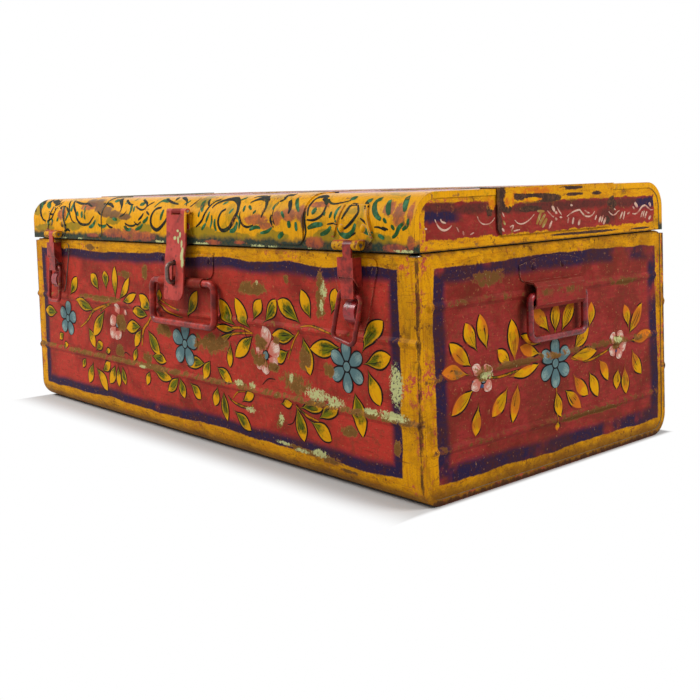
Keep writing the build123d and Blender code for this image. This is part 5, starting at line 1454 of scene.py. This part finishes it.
def lay_leaves(paint, leaves, seed, lift):
    """Leaves a little longer and broader than drawn, each bent its own way."""
    hand = random.Random(seed)
    for (x0, y0), (x1, y1), width in leaves:
        bend = hand.uniform(-0.06, 0.06)
        belly = hand.uniform(0.52, 0.66)
        dx, dy = x1 - x0, y1 - y0
        longer = min(0.14, 3.2 / math.hypot(dx, dy))
        broader = 1.22 + 0.05 * (FULL_LEAF - width)
        base = (x0 - 0.6 * longer * dx, y0 - 0.6 * longer * dy)
        tip = (x1 + longer * dx, y1 + longer * dy)
        rows = leaf_rows(base, tip, broader * width, bend, belly, 0.0, LEAF_RIM)
        paint.lay(rows, hand.random(), lift)


def lay_lines(paint, lines, lift, broader=1.0):
    for points, width in lines:
        paint.lay(line_rows(points, broader * width), 0.5, lift)


def lay_blossoms(petals, hearts, blossoms):
    """Petals round a heart, from a little way off its middle."""
    for centre, reach, count, first, width in blossoms:
        for k in range(count):
            angle = math.radians(first + 360 * k / count)
            way = (math.cos(angle), math.sin(angle))
            base = (centre[0] + PETAL_START * way[0], centre[1] + PETAL_START * way[1])
            tip = (centre[0] + reach * way[0], centre[1] + reach * way[1])
            rows = leaf_rows(base, tip, 1.08 * width, 0.0, 0.62, 1.0, 1.5)
            petals.lay(rows, k / count, PETAL_LIFT)
        hearts.lay(disc_rows(centre, HEART_RADIUS), 0.5, HEART_LIFT)


def paint_wall(wall, body, slot, finishes, leaves, stems, ink, blossoms, dabs, hearts, seed):
    """All the ornament of one wall, in one piece for each colour."""
    leaf, blue, white, stem, line = finishes
    kinds = {
        "leaves": leaf,
        "stems": stem,
        "blue_petals": blue,
        "hearts": blue,
        "pale_petals": white,
        "ink_lines": line,
    }
    paints = {kind: Paint(f"{wall}_{kind}", wall) for kind in kinds}
    lay_lines(paints["stems"], stems, STEM_LIFT, 1.5)
    lay_leaves(paints["leaves"], leaves, seed, LEAF_LIFT)
    lay_lines(paints["ink_lines"], ink, INK_LIFT)
    lay_leaves(paints["pale_petals"], dabs, seed + 1, PETAL_LIFT)
    lay_blossoms(paints["blue_petals"], paints["hearts"], blossoms)
    for centre, radius in hearts:
        paints["hearts"].lay(disc_rows(centre, radius), 0.5, HEART_LIFT)
    for kind, finish in kinds.items():
        if paints[kind].faces:
            paints[kind].finish(finish, body, slot)


def raised(part, rise):
    """The same strokes, or one part of them, moved up the wall."""
    if isinstance(part, list):
        return [raised(inner, rise) for inner in part]
    if isinstance(part, tuple) and isinstance(part[0], (list, tuple)):
        return tuple(raised(inner, rise) for inner in part)
    if isinstance(part, tuple):
        return (part[0], part[1] + rise)
    return part


GARLAND = (FRONT_LEAVES, FRONT_STEMS, FRONT_INK, FRONT_BLOSSOMS, FRONT_DABS, FRONT_HEARTS)
SPRAY = (END_LEAVES, END_STEMS, END_NAVY, END_BLOSSOMS, END_DABS, END_HEARTS)
# the lid's top has the front's garland, with its middle row on the lid's
GARLAND_MIDDLE = 112
TOP_GARLAND = raised(GARLAND, -GARLAND_MIDDLE)
paint_wall("front", "trunk", "body_paint", on_wall, *GARLAND, 11)
paint_wall("back", "trunk", "body_paint", on_wall, *GARLAND, 23)
paint_wall("right", "trunk", "body_paint", on_end, *SPRAY, 37)
paint_wall("left", "trunk", "body_paint", on_end, *SPRAY, 41)
paint_wall("lid_top", "lid", "lid_paint", on_lid, *TOP_GARLAND, 53)


def paint_lid(side, kind, finish, strokes, lift, broader=1.0):
    """One colour of the strokes on one side of the lid."""
    paint = Paint(f"lid_{side}_{kind}", f"lid_{side}")
    lay_lines(paint, strokes, lift, broader)
    paint.finish(finish, "lid", "lid_paint")


for side in ("front", "back"):
    paint_lid(side, "scrolls", ink_on_lid, LID_SCROLLS, SCROLL_LIFT, 1.25)
    paint_lid(side, "greens", green_on_lid, LID_GREENS, GREEN_LIFT, 1.25)
for side in ("left", "right"):
    paint_lid(side, "vine", cream_on_lid, VINE_STROKES, VINE_LIFT, 0.75)
    paint_lid(side, "olive_strokes", olive_on_lid, VINE_OLIVES, VINE_LIFT)


# ------------------------------------------------------------ floor and light
# half the width and depth of the walls, where the floor starts to whiten, in metres
FOOT_X, FOOT_Y = 0.38, 0.193
# how fast it whitens to the right, left, back and front, per metre; on the quick sides the white
# paints over the trunk's shadow
WHITENING = (10.0, 14.0, 10.0, 1.6)
# the floor's grey is painted shade round the trunk's foot, on top of its cast shadow
FLOOR_SIZE, SHADED_FLOOR_GREY = 8.0, 0.6
SOFT_LIGHT = 0.34


def make_floor():
    """A floor that keeps the trunk's shadow, painted grey near the trunk as shade round its foot
    and white farther off.
    """
    bpy.ops.mesh.primitive_plane_add(size=FLOOR_SIZE, location=(0, 0, 0))
    floor = bpy.context.object
    floor.name = "floor"
    material = bpy.data.materials.new("studio_floor")
    material.use_nodes = True
    tree = material.node_tree
    tree.nodes.clear()
    # grey near the trunk: painted shade round its foot
    grey = (SHADED_FLOOR_GREY, SHADED_FLOOR_GREY, SHADED_FLOOR_GREY, 1.0)
    diffuse = add(tree, "BsdfDiffuse", {"Color": grey}).outputs[0]
    white = add(tree, "Emission", {"Color": (1, 1, 1, 1), "Strength": 1.0}).outputs[0]
    x, y, _ = apart(tree, add(tree, "TexCoord").outputs["Object"])
    to_right, to_left, to_back, to_front = WHITENING
    right = scaled(tree, x, to_right, -to_right * FOOT_X)
    left = scaled(tree, x, -to_left, -to_left * FOOT_X)
    behind = scaled(tree, y, to_back, -to_back * FOOT_Y)
    before = scaled(tree, y, -to_front, -to_front * FOOT_Y)
    off = highest(tree, right, left, behind, before)
    path = add(tree, "LightPath").outputs
    seen = calc(tree, "ADD", path["Is Camera Ray"], path["Is Glossy Ray"], clamp=True)
    lifted = times(tree, ease(tree, off, 0.0, 0.08), seen)
    mixed = add(tree, "MixShader", {0: lifted, 1: diffuse, 2: white}).outputs[0]
    output = add(tree, "OutputMaterial")
    tree.links.new(mixed, output.inputs[0])
    floor.data.materials.append(material)


def make_world():
    """Soft light from all round, and plain white where the camera or gloss looks past all."""
    world = bpy.data.worlds.new("studio")
    scene.world = world
    world.use_nodes = True
    tree = world.node_tree
    tree.nodes.clear()
    soft = add(tree, "Background", {"Color": (1, 1, 1, 1), "Strength": SOFT_LIGHT}).outputs[0]
    white = add(tree, "Background", {"Color": (1, 1, 1, 1), "Strength": 1.0}).outputs[0]
    path = add(tree, "LightPath").outputs
    seen = plus(tree, path["Is Camera Ray"], path["Is Transmission Ray"])
    seen = calc(tree, "ADD", seen, path["Is Glossy Ray"], clamp=True)
    mixed = add(tree, "MixShader", {0: seen, 1: soft, 2: white}).outputs[0]
    output = add(tree, "OutputWorld")
    tree.links.new(mixed, output.inputs[0])


def make_soft_box(name, place, aim, size, power):
    """A rectangular lamp at a place in metres, turned to its aim."""
    bpy.ops.object.light_add(type="AREA", location=place)
    lamp = bpy.context.object
    lamp.name = name
    lamp.data.shape = "RECTANGLE"
    lamp.data.size, lamp.data.size_y = size
    lamp.data.energy = power
    lamp.rotation_euler = (Vector(aim) - Vector(place)).to_track_quat("-Z", "Y").to_euler()


# where the camera stands, in metres, and how it is turned, in radians
CAMERA_PLACE = (1.00746, -0.81652, 0.29018)
YAW, PITCH, ROLL = -0.852288, -0.065626, -0.032322
# its focal length and the row that it is level with, in pixels of a square picture
PICTURE, FOCAL, LEVEL_ROW = 700, 1027.756, 250.0
SENSOR = 36.0


def make_camera():
    forward = Vector(
        (math.sin(YAW) * math.cos(PITCH), math.cos(YAW) * math.cos(PITCH), math.sin(PITCH))
    )
    right = Vector((math.cos(YAW), -math.sin(YAW), 0))
    up = right.cross(forward)
    turned_right = right * math.cos(ROLL) + up * math.sin(ROLL)
    turned_up = up * math.cos(ROLL) - right * math.sin(ROLL)
    data = bpy.data.cameras.new("camera")
    data.sensor_width = SENSOR
    data.lens = SENSOR * FOCAL / PICTURE
    data.shift_y = (LEVEL_ROW - PICTURE / 2) / PICTURE
    camera = bpy.data.objects.new("camera", data)
    scene.collection.objects.link(camera)
    turn = Matrix((turned_right, turned_up, -forward)).transposed()
    camera.matrix_world = Matrix.Translation(CAMERA_PLACE) @ turn.to_4x4()
    scene.camera = camera


make_floor()
make_world()
make_soft_box("soft_box_front", (-1.3, -1.5, 1.7), (0, 0, 0.1), (1.1, 1.0), 50.0)
make_soft_box("soft_box_right", (1.9, 0.7, 1.4), (0.2, 0, 0.1), (1.0, 1.0), 30.0)
make_camera()
scene.view_settings.view_transform = "Standard"
